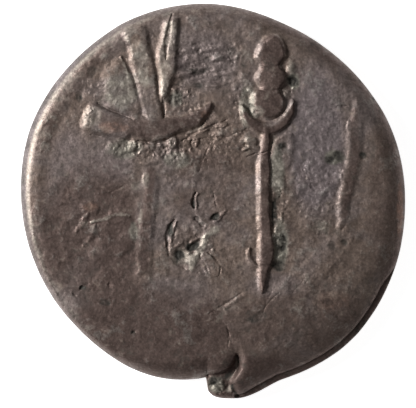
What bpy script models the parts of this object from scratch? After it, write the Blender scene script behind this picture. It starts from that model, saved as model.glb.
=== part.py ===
"""A worn silver denarius of the legions, lying on its ship side with the standards side up.

The coin is one solid. Like the real flan, it starts as a round pellet, here a six-sided double pyramid that
is divided into an even ball, and is then struck flat: every point of the ball has its place on the coin. The
standards side looks up along +Z, with the poles of the standards along +Y. The origin is on the surface that
the coin lies on, under the middle of its outline.
"""

import math
from dataclasses import dataclass, field

import bmesh
import bpy
import numpy as np

MM = 0.001

# The flan
FLAN_WIDTH = 17.9 * MM  # across the poles, along X
FLAN_LENGTH = 18.4 * MM  # along the poles, along Y
FACE_THICKNESS = 1.48 * MM  # from the surface that the coin lies on to the field of its upper face
EDGE_MIDDLE = 0.70 * MM  # height of the outermost line of the edge
UPPER_SHOULDER = 0.95 * MM  # width of the rounding from the edge to the upper face
BROAD_SHOULDER = 0.75 * MM  # how much wider that rounding is on the worn side
BROAD_TURN = math.radians(-8)  # direction of the worn side
LOWER_SHOULDER = 0.75 * MM  # width of the rounding from the edge to the lower face
SHOULDER_POWER = 1.8  # 2 rounds a shoulder as an ellipse, and 1 makes it a plain chamfer
UPPER_DOME = 0.06 * MM  # how much higher the upper field stands in the middle than at its shoulder
LOW_SIDE_DROP = 0.22 * MM  # how far the upper face falls away at the thin side of the flan
LOW_SIDE_WIDTH = 3.0 * MM
LOW_SIDE_TURN = math.radians(-42)  # direction of the thin side, from +X towards +Y

# The flange of metal that stands out under the thin side
LIP_WIDTH = 0.3 * MM
LIP_TOP = 0.30 * MM  # over the line of the edge
LIP_FROM = math.radians(-86)
LIP_TO = math.radians(-18)
LIP_FADE = math.radians(10)

# The split in the edge, where the flan tore as it was struck
SPLIT_TURN = math.radians(-92.1)
SPLIT_BACK = 0.50 * MM  # how far the edge falls back on one side of the split
BACK_FADE = math.radians(6.5)  # angle over which most of that fall fades
SPLIT_JUMP = math.radians(0.5)  # half the angle of the step in the edge
SPLIT_SPREAD = math.radians(10.0)  # angle over which the face's shoulder takes up the step
LOBE_REACH = 0.48 * MM  # how far the lobe stands out on the other side
LOBE_FULL = math.radians(4.5)  # angles past the split at which the lobe is full, starts to wane, and ends
LOBE_WANE = math.radians(9.0)
LOBE_END = math.radians(24.0)
SPLIT_LENGTH = 1.7 * MM  # from the mouth of the split to its tip inside the flan
SPLIT_DEPTH = 0.62 * MM  # from the upper face to the torn ledge

# What was struck on the upper face
RELIEF = 0.24 * MM  # height of the highest forms over the field
STANDARD_HEIGHT = 11.9 * MM
STANDARD_FOOT = (2.38 * MM, -4.24 * MM)
EAGLE_HEIGHT = 12.5 * MM
EAGLE_FOOT = (-2.94 * MM, -4.15 * MM)
BORDER_HEIGHT = 5.9 * MM
BORDER_FOOT = (6.15 * MM, -1.40 * MM)
PUNCH_HEIGHT = 4.1 * MM
PUNCH_FOOT = (-0.84 * MM, -3.73 * MM)
PUNCH_DEPTH = 0.22 * MM

# What was struck on the lower face, seen from below
GALLEY_LENGTH = 12.6 * MM
GALLEY_PLACE = (0.3 * MM, 0.5 * MM)
GALLEY_RELIEF = 0.22 * MM
GALLEY_OARS = 11
LOWER_FIELD = 0.15 * MM  # height of the lower field over the surface that the coin lies on
LOWER_RIM_WIDTH = 0.7 * MM  # the worn rim, which the coin lies on
LOWER_RIM_SLOPE = 0.7 * MM  # from the rim to the field

# How finely the ball is divided
EVEN_DIVISIONS = 4
MOST_TRIANGLES = 9400
LARGEST_MISS = 0.008 * MM
SHORTEST_EDGE = 0.09 * MM
LEVEL = 1e-6  # a point of the ball closer than this to its equator is on it
LEAST_WIDTH = 0.001 * MM  # of a form that has faded away

SILVER = (0.150, 0.118, 0.105, 1.0)
SILVER_ROUGHNESS = 0.46
SILVER_METALLIC = 0.85

FULL_TURN = 2 * math.pi
RUN_TOGETHER = 6  # a lower power rounds the corners where raised shapes meet more


def smooth_step(value, low, high):
    """0 below low, 1 above high, and a smooth rise between them."""
    share = np.clip((value - low) / (high - low), 0.0, 1.0)
    return share * share * (3.0 - 2.0 * share)


@dataclass
class Ridge:
    """A raised line through points (x, y, half-width), with a level crown and sloping sides."""

    points: list
    height: float = 1.0
    crown: float = 0.3

    def rise(self, x, y):
        """The share of the full relief at each point of the figure's own plane."""
        highest = np.zeros_like(x)
        for (x0, y0, w0), (x1, y1, w1) in zip(self.points, self.points[1:]):
            run_x, run_y = x1 - x0, y1 - y0
            along = ((x - x0) * run_x + (y - y0) * run_y) / (run_x**2 + run_y**2)
            along = np.clip(along, 0.0, 1.0)
            away = np.hypot(x - x0 - along * run_x, y - y0 - along * run_y)
            half_width = w0 + along * (w1 - w0)
            part = 1.0 - smooth_step(away / half_width, self.crown, 1.0)
            highest = np.maximum(highest, part)
        return self.height * highest


@dataclass
class Mound:
    """A raised oval about a centre, turned by a number of degrees."""

    centre: tuple
    radii: tuple
    height: float = 1.0
    turn: float = 0.0
    crown: float = 0.45

    def rise(self, x, y):
        """The share of the full relief at each point of the figure's own plane."""
        turn = math.radians(self.turn)
        across, up = x - self.centre[0], y - self.centre[1]
        first = (across * math.cos(turn) + up * math.sin(turn)) / self.radii[0]
        second = (up * math.cos(turn) - across * math.sin(turn)) / self.radii[1]
        return self.height * (1.0 - smooth_step(np.hypot(first, second), self.crown, 1.0))


@dataclass
class Plate:
    """A raised area inside corners, whose edge rises over a width about its outline."""

    corners: list
    height: float = 1.0
    slope: float = 2.0

    def rise(self, x, y):
        """The share of the full relief at each point of the figure's own plane."""
        nearest = np.full_like(x, np.inf)
        inside = np.zeros(x.shape, bool)
        for (x0, y0), (x1, y1) in zip(self.corners, self.corners[1:] + self.corners[:1]):
            run_x, run_y = x1 - x0, y1 - y0
            along = ((x - x0) * run_x + (y - y0) * run_y) / (run_x**2 + run_y**2)
            along = np.clip(along, 0.0, 1.0)
            nearest = np.minimum(nearest, np.hypot(x - x0 - along * run_x, y - y0 - along * run_y))
            if y0 != y1:
                inside ^= ((y0 > y) != (y1 > y)) & (x < x0 + (y - y0) / run_y * run_x)
        depth = np.where(inside, nearest, -nearest)
        return self.height * smooth_step(depth, -self.slope / 2, self.slope / 2)


@dataclass
class Figure:
    """Shapes drawn in hundredths of their own height or length, about a foot on the face."""

    size: float
    foot: tuple
    raised: list
    cut: list = field(default_factory=list)

    def own_plane(self, x, y):
        """The face's points in the figure's own units."""
        unit = self.size / 100
        return (x - self.foot[0]) / unit, (y - self.foot[1]) / unit

    def rise(self, x, y):
        """The raised shapes at each point, run together where they meet."""
        u, v = self.own_plane(x, y)
        together = np.zeros_like(u)
        for shape in self.raised:
            together += shape.rise(u, v) ** RUN_TOGETHER
        return together ** (1.0 / RUN_TOGETHER)

    def fall(self, x, y):
        """The deepest of the cuts at each point."""
        u, v = self.own_plane(x, y)
        deepest = np.zeros_like(u)
        for shape in self.cut:
            deepest = np.maximum(deepest, shape.rise(u, v))
        return deepest


def arc(centre, radius, start, end, widths, steps=10):
    """Ridge points along an arc, in degrees, with half-widths at its start, middle and end."""
    points = []
    for step in range(steps + 1):
        share = step / steps
        turn = math.radians(start + (end - start) * share)
        half_width = float(np.interp(share, (0.0, 0.5, 1.0), widths))
        points.append((centre[0] + radius * math.cos(turn), centre[1] + radius * math.sin(turn), half_width))
    return points


def standard():
    """The standard on the right: a shaft, a crescent, three discs over it, and ribbons."""
    shaft = Ridge(
        [
            (-1.0, -0.5, 1.0),
            (-0.8, 4.5, 1.8),
            (-0.6, 9.5, 2.2),
            (0.2, 13.5, 3.5),
            (0.4, 18.5, 3.7),
            (-0.2, 29.0, 3.3),
            (-0.5, 44.0, 3.1),
            (-0.4, 53.0, 3.1),
            (0.2, 62.0, 2.4),
        ],
        height=0.85,
        crown=0.12,
    )
    crescent = Ridge(arc((1.6, 73.4), 10.2, 176, 372, (0.8, 2.4, 0.8)), height=0.8, crown=0.35)
    discs = [
        Mound((1.2, 73.4), (5.9, 6.0), height=0.95),
        Mound((2.8, 83.0), (5.5, 5.8), height=1.0),
        Mound((3.1, 92.8), (5.9, 6.3), height=1.0, crown=0.6),
        Mound((1.6, 97.6), (2.6, 2.9), height=0.75),
    ]
    collars = [
        Mound((-5.2, 13.5), (2.4, 3.2), height=0.42),
        Mound((3.3, 13.0), (2.4, 3.4), height=0.45),
        Mound((-3.2, 59.2), (2.9, 2.0), height=0.55),
        Ridge([(-8.2, 54.6, 1.3), (-0.8, 54.8, 1.8)], height=0.40),
    ]
    ribbons = [
        Ridge([(2.7, 53.6, 1.3), (4.7, 58.0, 1.6), (7.8, 61.0, 1.7), (10.2, 59.2, 1.5)], height=0.38),
        Ridge([(10.2, 59.2, 1.5), (10.4, 55.4, 1.4), (9.2, 51.4, 1.1)], height=0.38),
        Ridge([(7.4, 38.0, 1.2), (6.6, 21.0, 1.0)], height=0.15),
        Mound((10.8, 87.2), (2.1, 4.6), height=0.32, turn=-12),
        Mound((8.7, 77.2), (2.1, 2.3), height=0.36),
    ]
    return Figure(STANDARD_HEIGHT, STANDARD_FOOT, [shaft, crescent, *discs, *collars, *ribbons])


def eagle():
    """The eagle on the left, worn to its raised wings, its level body and the pole under it."""
    pole = Ridge([(-1.5, 1.0, 2.6), (-1.0, 25.0, 3.2), (0.4, 36.0, 3.2), (0.9, 46.0, 3.0)], height=0.28)
    body = Ridge(
        [
            (-24.0, 60.4, 1.4),
            (-20.0, 63.4, 4.6),
            (-14.8, 62.8, 4.5),
            (-9.3, 61.8, 4.3),
            (-3.6, 60.4, 4.0),
            (3.0, 60.2, 3.8),
            (8.2, 61.6, 3.6),
            (13.4, 63.0, 3.3),
            (18.6, 64.2, 3.0),
            (23.0, 66.0, 1.8),
        ],
        height=0.62,
        crown=0.55,
    )
    left_wing = [
        Ridge(
            [(-7.4, 101.0, 4.8), (-3.9, 90.4, 4.2), (-1.6, 83.0, 4.0), (0.2, 74.0, 3.8), (0.8, 67.0, 3.8)],
            height=0.78,
            crown=0.55,
        ),
        Ridge([(-10.4, 86.0, 1.2), (-8.4, 80.6, 1.6), (-6.2, 74.6, 1.6), (-5.0, 70.0, 1.2)], height=0.42),
        Plate([(-22.4, 67.6), (-12.4, 85.0), (-3.8, 76.0), (-2.4, 66.0)], height=0.26, slope=4.0),
    ]
    outer_side = [(10.8, 101.4), (10.6, 93.4), (9.4, 85.8), (7.8, 79.0), (5.2, 70.6)]
    inner_side = [(3.0, 78.4), (2.2, 89.6), (2.4, 101.0)]
    right_wing = Plate(outer_side + inner_side, height=0.70, slope=3.0)
    wing_groove = Ridge([(7.6, 101.0, 1.2), (6.2, 94.0, 1.1), (5.4, 86.5, 0.8)], height=0.42, crown=0.1)
    claws = [Mound((-5.6, 53.6), (2.0, 3.2), height=0.3), Mound((8.8, 54.4), (1.9, 2.8), height=0.34)]
    return Figure(EAGLE_HEIGHT, EAGLE_FOOT, [pole, body, *left_wing, right_wing, *claws], [wing_groove])


def border():
    """What is left of the border on the right: one long low ridge that bends inwards as it goes down."""
    ridge = [
        (-4.0, 3.0, 3.0),
        (0.0, 24.5, 4.6),
        (3.2, 43.5, 5.2),
        (5.4, 64.0, 5.2),
        (5.8, 80.0, 5.0),
        (7.8, 94.0, 4.0),
        (9.4, 101.0, 2.4),
    ]
    return Figure(BORDER_HEIGHT, BORDER_FOOT, [Ridge(ridge, height=0.42)])


def punch():
    """The test punch under the middle: a round stamp cut across the field, with the metal raised about it."""
    raised = [
        Mound((-14.8, 51.0), (13.6, 11.4), height=0.30),
        Mound((19.5, 59.0), (9.0, 7.0), height=0.36, turn=30),
        Ridge([(13.6, 43.2, 5.0), (2.3, 33.0, 6.0), (-5.7, 19.4, 5.0), (-7.4, 12.5, 3.4)], height=0.42),
        Plate([(10.2, 34.0), (29.5, 18.2), (28.4, 8.0), (17.0, 5.7), (5.7, 26.0)], height=0.10, slope=2.5),
    ]
    cut = [
        Ridge(
            [(-24.0, 67, 3.4), (-29.0, 58, 4.8), (-32.4, 46.6, 5.0), (-30.7, 35, 5.0), (-24.6, 24, 4.6)],
            height=0.9,
        ),
        Ridge([(1.2, 96.6, 2.2), (-2.3, 89.2, 3.4), (-0.6, 81.8, 2.2)], height=0.6),
        Mound((-3.4, 38.6), (9.8, 5.4), height=1.0, turn=20),
        Mound((-18.8, 29.0), (7.6, 8.0), height=1.0),
        Mound((22.8, 73.4), (7.0, 4.4), height=0.8, turn=32),
        Mound((3.4, 67.6), (5.8, 5.8), height=0.6),
    ]
    return Figure(PUNCH_HEIGHT, PUNCH_FOOT, raised, cut)


def galley():
    """The warship on the lower face, with a hull, a rail, a curled stern, a ram and a bank of oars."""
    after_hull = [(-43.0, 3.0, 2.4), (-34.0, -4.0, 4.2), (-14.0, -8.0, 5.2)]
    fore_hull = [(16.0, -8.0, 5.2), (37.0, -4.0, 4.2), (49.0, 1.0, 2.2)]
    rail = [(-38.0, 5.0, 1.4), (-12.0, 1.6, 1.6), (18.0, 1.6, 1.6), (40.0, 5.0, 1.4)]
    stern = [(-42.0, 3.0, 2.4), (-48.5, 13.0, 2.0), (-46.0, 24.0, 1.8), (-37.0, 28.0, 1.5)]
    stem = [(39.0, -2.0, 2.4), (44.0, 9.0, 1.9), (41.0, 17.0, 1.5)]
    raised = [
        Ridge(after_hull + fore_hull, crown=0.6),
        Ridge(rail, height=0.75),
        Ridge(stern, height=0.8),
        Ridge(stem, height=0.8),
        Ridge([(30.0, 3.0, 1.4), (31.0, 28.0, 1.2)], height=0.6),
        Ridge([(26.0, 21.0, 1.3), (36.0, 21.6, 1.3)], height=0.55),
        Ridge([(-30.0, 4.0, 1.4), (-31.0, 15.0, 1.2)], height=0.5),
    ]
    first_oar, last_oar = -31.0, 33.0
    for number in range(GALLEY_OARS):
        head = first_oar + (last_oar - first_oar) * number / (GALLEY_OARS - 1)
        raised.append(Ridge([(head, -11.0, 1.1), (head - 5.0, -24.0, 1.3)], height=0.7))
    return Figure(GALLEY_LENGTH, GALLEY_PLACE, raised)


UPPER_FIGURES = [standard(), eagle(), border()]
PUNCH = punch()
GALLEY = galley()

# Distance of the outline from the middle, every 22.5 degrees from +X, as shares of the length's half
OUTLINE_REACH = [
    0.970, 0.972, 0.963, 0.967, 1.000, 1.011, 1.002, 0.998,
    0.973, 0.954, 0.940, 0.948, 0.944, 0.967, 0.989, 0.978,
]  # fmt: skip


def hammered_reach(turn):
    """The outline's distance from the middle in each direction, on a smooth curve through its 16 places."""
    count = len(OUTLINE_REACH)
    place = (turn % FULL_TURN) / FULL_TURN * count
    before = np.floor(place).astype(int)
    share = place - before
    p0, p1, p2, p3 = (np.take(OUTLINE_REACH, before + step, mode="wrap") for step in (-1, 0, 1, 2))
    bend = p0 - 2.5 * p1 + 2.0 * p2 - 0.5 * p3
    twist = 1.5 * (p1 - p2) + 0.5 * (p3 - p0)
    return p1 + share * (0.5 * (p2 - p0) + share * (bend + share * twist))


def turn_from_split(turn):
    """Angle past the split in each direction, between half a turn back and half a turn on."""
    return (turn - SPLIT_TURN + math.pi) % FULL_TURN - math.pi


def split_reach(turn, spread=0.0):
    """How far the edge falls back before the split and stands out after it, its step spread over an angle."""
    past = turn_from_split(turn)
    before = 1.0 - smooth_step(past, -SPLIT_JUMP, SPLIT_JUMP + spread)
    fallen = np.exp(np.minimum(past, 0.0) / BACK_FADE) * before
    lobe = smooth_step(past, 0.0, LOBE_FULL + spread) * (1.0 - smooth_step(past, LOBE_WANE, LOBE_END))
    return LOBE_REACH * lobe - SPLIT_BACK * fallen


def raw_outline(turn):
    """The outline before it is fitted to the flan's width and length, in metres."""
    reach = hammered_reach(turn) * FLAN_LENGTH / 2 + split_reach(turn)
    return reach * np.cos(turn), reach * np.sin(turn)


def outline_fit():
    """The scale and shift that give the outline the flan's width and length about the origin."""
    x, y = raw_outline(np.linspace(0.0, FULL_TURN, 3600, endpoint=False))
    scale_x, scale_y = FLAN_WIDTH / np.ptp(x), FLAN_LENGTH / np.ptp(y)
    return scale_x, scale_y, -(x.min() + x.max()) / 2 * scale_x, -(y.min() + y.max()) / 2 * scale_y


OUTLINE_FIT = outline_fit()


def plan(ball):
    """Where each point of the ball lies in plan: x, y, its distance in from the edge, its direction."""
    turn = np.arctan2(ball[:, 1], ball[:, 0])
    share = np.minimum(np.hypot(ball[:, 0], ball[:, 1]), 1.0)
    edge_x, edge_y = raw_outline(turn)
    scale_x, scale_y, shift_x, shift_y = OUTLINE_FIT
    inset = (1.0 - share) * np.hypot(edge_x * scale_x, edge_y * scale_y)
    return share * edge_x * scale_x + shift_x, share * edge_y * scale_y + shift_y, inset, turn


def rounding(inset, width):
    """The share of the full height that a shoulder has reached at each distance in from the edge."""
    left = 1.0 - np.clip(inset / width, 0.0, 1.0)
    return (1.0 - left**SHOULDER_POWER) ** (1.0 / SHOULDER_POWER)


def upper_field(x, y):
    """Height of the upper face without its relief."""
    radius = FLAN_WIDTH / 2
    across = x * math.cos(LOW_SIDE_TURN) + y * math.sin(LOW_SIDE_TURN)
    thin_side = smooth_step(across, radius - LOW_SIDE_WIDTH, radius)
    dome = 1.0 - np.clip((x**2 + y**2) / radius**2, 0.0, 1.0)
    return FACE_THICKNESS + UPPER_DOME * dome - LOW_SIDE_DROP * thin_side


def split_mouth():
    """Where the split opens in the edge."""
    x, y = raw_outline(SPLIT_TURN)
    scale_x, scale_y, shift_x, shift_y = OUTLINE_FIT
    return x * scale_x + shift_x, y * scale_y + shift_y


def split():
    """The torn ledge of the split, which narrows to a tip inside the flan and runs out past the edge."""
    left_side = [(82, 58), (70, 35), (37, 15), (-4, -1), (-18, -23)]
    right_side = [(4, -66), (60, -66), (64, -31), (53, -12), (75, 13), (87, 37)]
    return Figure(SPLIT_LENGTH, split_mouth(), [Plate(left_side + right_side, slope=15)])


SPLIT = split()


def upper_face(x, y, inset, turn):
    """Height of the standards side, relief, punch, split, shoulder and lip included."""
    rise = np.zeros_like(x)
    for figure in UPPER_FIGURES:
        rise = np.maximum(rise, figure.rise(x, y) - figure.fall(x, y))
    rise = np.maximum(rise, PUNCH.rise(x, y))
    face = upper_field(x, y) + RELIEF * rise - PUNCH_DEPTH * PUNCH.fall(x, y)
    sector = smooth_step(turn, LIP_FROM, LIP_FROM + LIP_FADE)
    sector = sector * (1.0 - smooth_step(turn, LIP_TO - LIP_FADE, LIP_TO))
    lip = LIP_TOP * sector
    lip_width = np.maximum(LIP_WIDTH * sector, LEAST_WIDTH)
    over_lip = face - EDGE_MIDDLE - lip
    height = EDGE_MIDDLE + lip * rounding(inset, lip_width)
    towards_worn_side = 0.5 + 0.5 * np.cos(turn - BROAD_TURN)
    shoulder = UPPER_SHOULDER + BROAD_SHOULDER * towards_worn_side**2
    step = split_reach(turn) - split_reach(turn, SPLIT_SPREAD)
    height = height + over_lip * rounding(inset - step - lip_width, shoulder)
    ledge = EDGE_MIDDLE + (FACE_THICKNESS - SPLIT_DEPTH - EDGE_MIDDLE) * rounding(inset, UPPER_SHOULDER / 2)
    return height + SPLIT.rise(x, y) * (ledge - height)


def lower_face(x, y, inset):
    """Height of the ship side, worn level at the surface that the coin lies on."""
    rim_edge = LOWER_SHOULDER + LOWER_RIM_WIDTH
    inside_rim = smooth_step(inset, rim_edge, rim_edge + LOWER_RIM_SLOPE)
    struck = LOWER_FIELD * inside_rim - GALLEY_RELIEF * GALLEY.rise(-x, y)
    worn = np.maximum(struck, 0.0)
    return EDGE_MIDDLE + (worn - EDGE_MIDDLE) * rounding(inset, LOWER_SHOULDER)


def strike(ball):
    """Where each point of the ball goes on the coin, in metres."""
    x, y, inset, turn = plan(ball)
    height = np.full_like(x, EDGE_MIDDLE)
    upper, lower = ball[:, 2] > LEVEL, ball[:, 2] < -LEVEL
    height[upper] = upper_face(x[upper], y[upper], inset[upper], turn[upper])
    height[lower] = lower_face(x[lower], y[lower], inset[lower])
    return np.column_stack((x, y, height))


def onto_ball(pellet):
    """Moves every vertex straight out or in to the ball's surface."""
    for vertex in pellet.verts:
        vertex.co.normalize()


def pellet_of_silver():
    """The ball that the coin is struck from, with its equator as a closed line of edges."""
    pellet = bmesh.new()
    bmesh.ops.create_circle(pellet, cap_ends=True, cap_tris=True, segments=6, radius=1.0)
    for vertex in pellet.verts:
        if vertex.co.length < 0.5:
            vertex.co.z = 1.0
    upper_half = pellet.verts[:] + pellet.edges[:] + pellet.faces[:]
    bmesh.ops.mirror(pellet, geom=upper_half, axis="Z", merge_dist=1e-5)
    for _ in range(EVEN_DIVISIONS):
        bmesh.ops.subdivide_edges(pellet, edges=pellet.edges[:], cuts=1, use_grid_fill=True)
        onto_ball(pellet)
    bmesh.ops.recalc_face_normals(pellet, faces=pellet.faces[:])
    return pellet


def edges_to_split(pellet, room):
    """The edges whose straight line misses the struck surface most, as many as there is room for."""
    edges = pellet.edges[:]
    first = np.array([edge.verts[0].co for edge in edges], float)
    second = np.array([edge.verts[1].co for edge in edges], float)
    start, end = strike(first), strike(second)
    miss = np.zeros(len(edges))
    for share in (0.25, 0.5, 0.75):
        between = first + share * (second - first)
        between /= np.linalg.norm(between, axis=1)[:, None]
        miss = np.maximum(miss, np.linalg.norm(strike(between) - start - share * (end - start), axis=1))
    miss[np.linalg.norm(end - start, axis=1) < SHORTEST_EDGE] = 0.0
    worst = np.argsort(-miss)[:room]
    return [edges[number] for number in worst if miss[number] > LARGEST_MISS]


def refine(pellet):
    """Divides the ball further where the strike needs it, a part of the remaining triangles at a time."""
    while True:
        room = (MOST_TRIANGLES - len(pellet.faces)) // 2
        chosen = edges_to_split(pellet, min(room, 500))
        if not chosen:
            return
        bmesh.ops.subdivide_edges(pellet, edges=chosen, cuts=1)
        bmesh.ops.triangulate(pellet, faces=[f for f in pellet.faces if len(f.verts) > 3])
        onto_ball(pellet)
        inner = [edge for edge in pellet.edges if any(abs(vertex.co.z) > LEVEL for vertex in edge.verts)]
        bmesh.ops.beautify_fill(pellet, faces=pellet.faces[:], edges=inner, method="ANGLE")


def toned_silver():
    """Old silver with a dark brown tone."""
    material = bpy.data.materials.new("toned_silver")
    material.use_nodes = True
    shader = material.node_tree.nodes["Principled BSDF"]
    shader.inputs["Base Color"].default_value = SILVER
    shader.inputs["Roughness"].default_value = SILVER_ROUGHNESS
    shader.inputs["Metallic"].default_value = SILVER_METALLIC
    return material


def denarius():
    """The coin as one object."""
    pellet = pellet_of_silver()
    refine(pellet)
    pellet.verts.ensure_lookup_table()
    struck = strike(np.array([vertex.co for vertex in pellet.verts], float))
    for vertex, place in zip(pellet.verts, struck):
        vertex.co = place
    mesh = bpy.data.meshes.new("denarius")
    pellet.to_mesh(mesh)
    pellet.free()
    mesh.shade_smooth()
    coin = bpy.data.objects.new("denarius", mesh)
    coin.data.materials.append(toned_silver())
    bpy.context.scene.collection.objects.link(coin)
    return coin


def main():
    """Clears the scene and makes the coin."""
    for old in list(bpy.data.objects):
        bpy.data.objects.remove(old)
    denarius()


main()
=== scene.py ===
"""The finish of a worn silver denarius that lies on its ship side with its standards side up.

Both faces are drawn in steps. A step is what one pixel of the photograph shows, and the flan is 395 steps
long. Steps are counted from the middle of the flan: u to the right and v along the poles of the standards.
Heights and depths of the relief are in millimetres.
"""

import logging
import math
from dataclasses import dataclass, field
from enum import Enum

import bmesh
import bpy
import numpy as np
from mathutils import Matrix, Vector


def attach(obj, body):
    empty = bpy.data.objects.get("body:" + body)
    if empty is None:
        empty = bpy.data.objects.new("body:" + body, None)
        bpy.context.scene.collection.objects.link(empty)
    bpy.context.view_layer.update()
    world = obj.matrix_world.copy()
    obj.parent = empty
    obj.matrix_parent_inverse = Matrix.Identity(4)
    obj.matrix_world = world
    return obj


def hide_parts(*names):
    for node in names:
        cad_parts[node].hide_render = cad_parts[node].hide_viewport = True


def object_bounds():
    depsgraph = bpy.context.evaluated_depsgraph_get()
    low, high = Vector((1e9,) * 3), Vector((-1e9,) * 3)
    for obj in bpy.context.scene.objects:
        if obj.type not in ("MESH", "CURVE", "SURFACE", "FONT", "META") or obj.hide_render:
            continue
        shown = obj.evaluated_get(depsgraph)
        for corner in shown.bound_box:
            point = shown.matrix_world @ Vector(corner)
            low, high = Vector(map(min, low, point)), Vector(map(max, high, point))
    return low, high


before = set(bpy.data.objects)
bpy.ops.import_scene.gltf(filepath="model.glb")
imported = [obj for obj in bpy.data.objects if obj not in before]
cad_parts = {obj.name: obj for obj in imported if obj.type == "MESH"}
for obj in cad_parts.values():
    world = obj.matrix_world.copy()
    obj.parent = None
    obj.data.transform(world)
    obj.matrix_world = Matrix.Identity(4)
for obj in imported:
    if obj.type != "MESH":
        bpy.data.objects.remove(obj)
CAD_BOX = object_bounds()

log = logging.getLogger("denarius")

COIN_NODE = "denarius"
ROOT_BODY = "root"
MATERIAL_SLOT = "toned_silver"

MM = 0.001
STEPS_LONG = 395
FULL_TURN = 2.0 * math.pi

Line = list[tuple[float, float, float]]
Outline = list[tuple[float, float]]
Colour = tuple[float, float, float]


# Smooth changes and repeatable roughness


def smooth_step(value: np.ndarray | float, low: float, high: float) -> np.ndarray:
    """Rises smoothly from 0 to 1.

    Args:
        value: The values to judge.
        low: The value at and below which the result is 0.
        high: The value at and above which the result is 1.

    Returns:
        The share reached at each value.
    """
    share = np.clip((value - low) / (high - low), 0.0, 1.0)
    return share * share * (3.0 - 2.0 * share)


def soft_side(value: np.ndarray, low: float, high: float) -> np.ndarray:
    """Rises from 0 to 1 as a worn side does, with long soft ends.

    Args:
        value: The values to judge.
        low: The value at and below which the result is 0.
        high: The value at and above which the result is 1.

    Returns:
        The share reached at each value.
    """
    share = np.clip((value - low) / (high - low), 0.0, 1.0)
    return share**3 * (share * (6.0 * share - 15.0) + 10.0)


def bend(near: tuple[np.ndarray, ...], share: np.ndarray | float) -> np.ndarray:
    """Gives a place on the smooth curve through four points, between the second and the third.

    Args:
        near: The four points.
        share: How far the place is on its way from the second point to the third.

    Returns:
        The place.
    """
    p0, p1, p2, p3 = near
    curve = p0 - 2.5 * p1 + 2.0 * p2 - 0.5 * p3
    twist = 1.5 * (p1 - p2) + 0.5 * (p3 - p0)
    return p1 + share * (0.5 * (p2 - p0) + share * (curve + share * twist))


def through(points: Line | Outline, pieces: int = 4, closed: bool = False) -> Line | Outline:
    """Draws a smooth curve through points.

    Args:
        points: Places, or places and half-widths, in order.
        pieces: Straight pieces between two points.
        closed: Whether the curve comes back to its start.

    Returns:
        The closer points of the curve.
    """
    if len(points) < 3:
        return points
    ends = (points[-1:], points[:2]) if closed else (points[:1], points[-1:])
    given = np.array([*ends[0], *points, *ends[1]], float)
    fours = zip(given, given[1:], given[2:], given[3:])
    curve = [tuple(bend(near, piece / pieces)) for near in fours for piece in range(pieces)]
    return curve if closed else [*curve, tuple(given[-1])]


def around(values: tuple[float, ...], turn: np.ndarray) -> np.ndarray:
    """Reads a smooth closed curve through values that are spread evenly round the flan.

    Args:
        values: The values, the first one at +X and the rest towards +Y.
        turn: Directions in radians.

    Returns:
        The value in each direction.
    """
    place = (turn % FULL_TURN) / FULL_TURN * len(values)
    before = np.floor(place).astype(int)
    near = tuple(np.take(values, before + step, mode="wrap") for step in (-1, 0, 1, 2))
    return bend(near, place - before)


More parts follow.
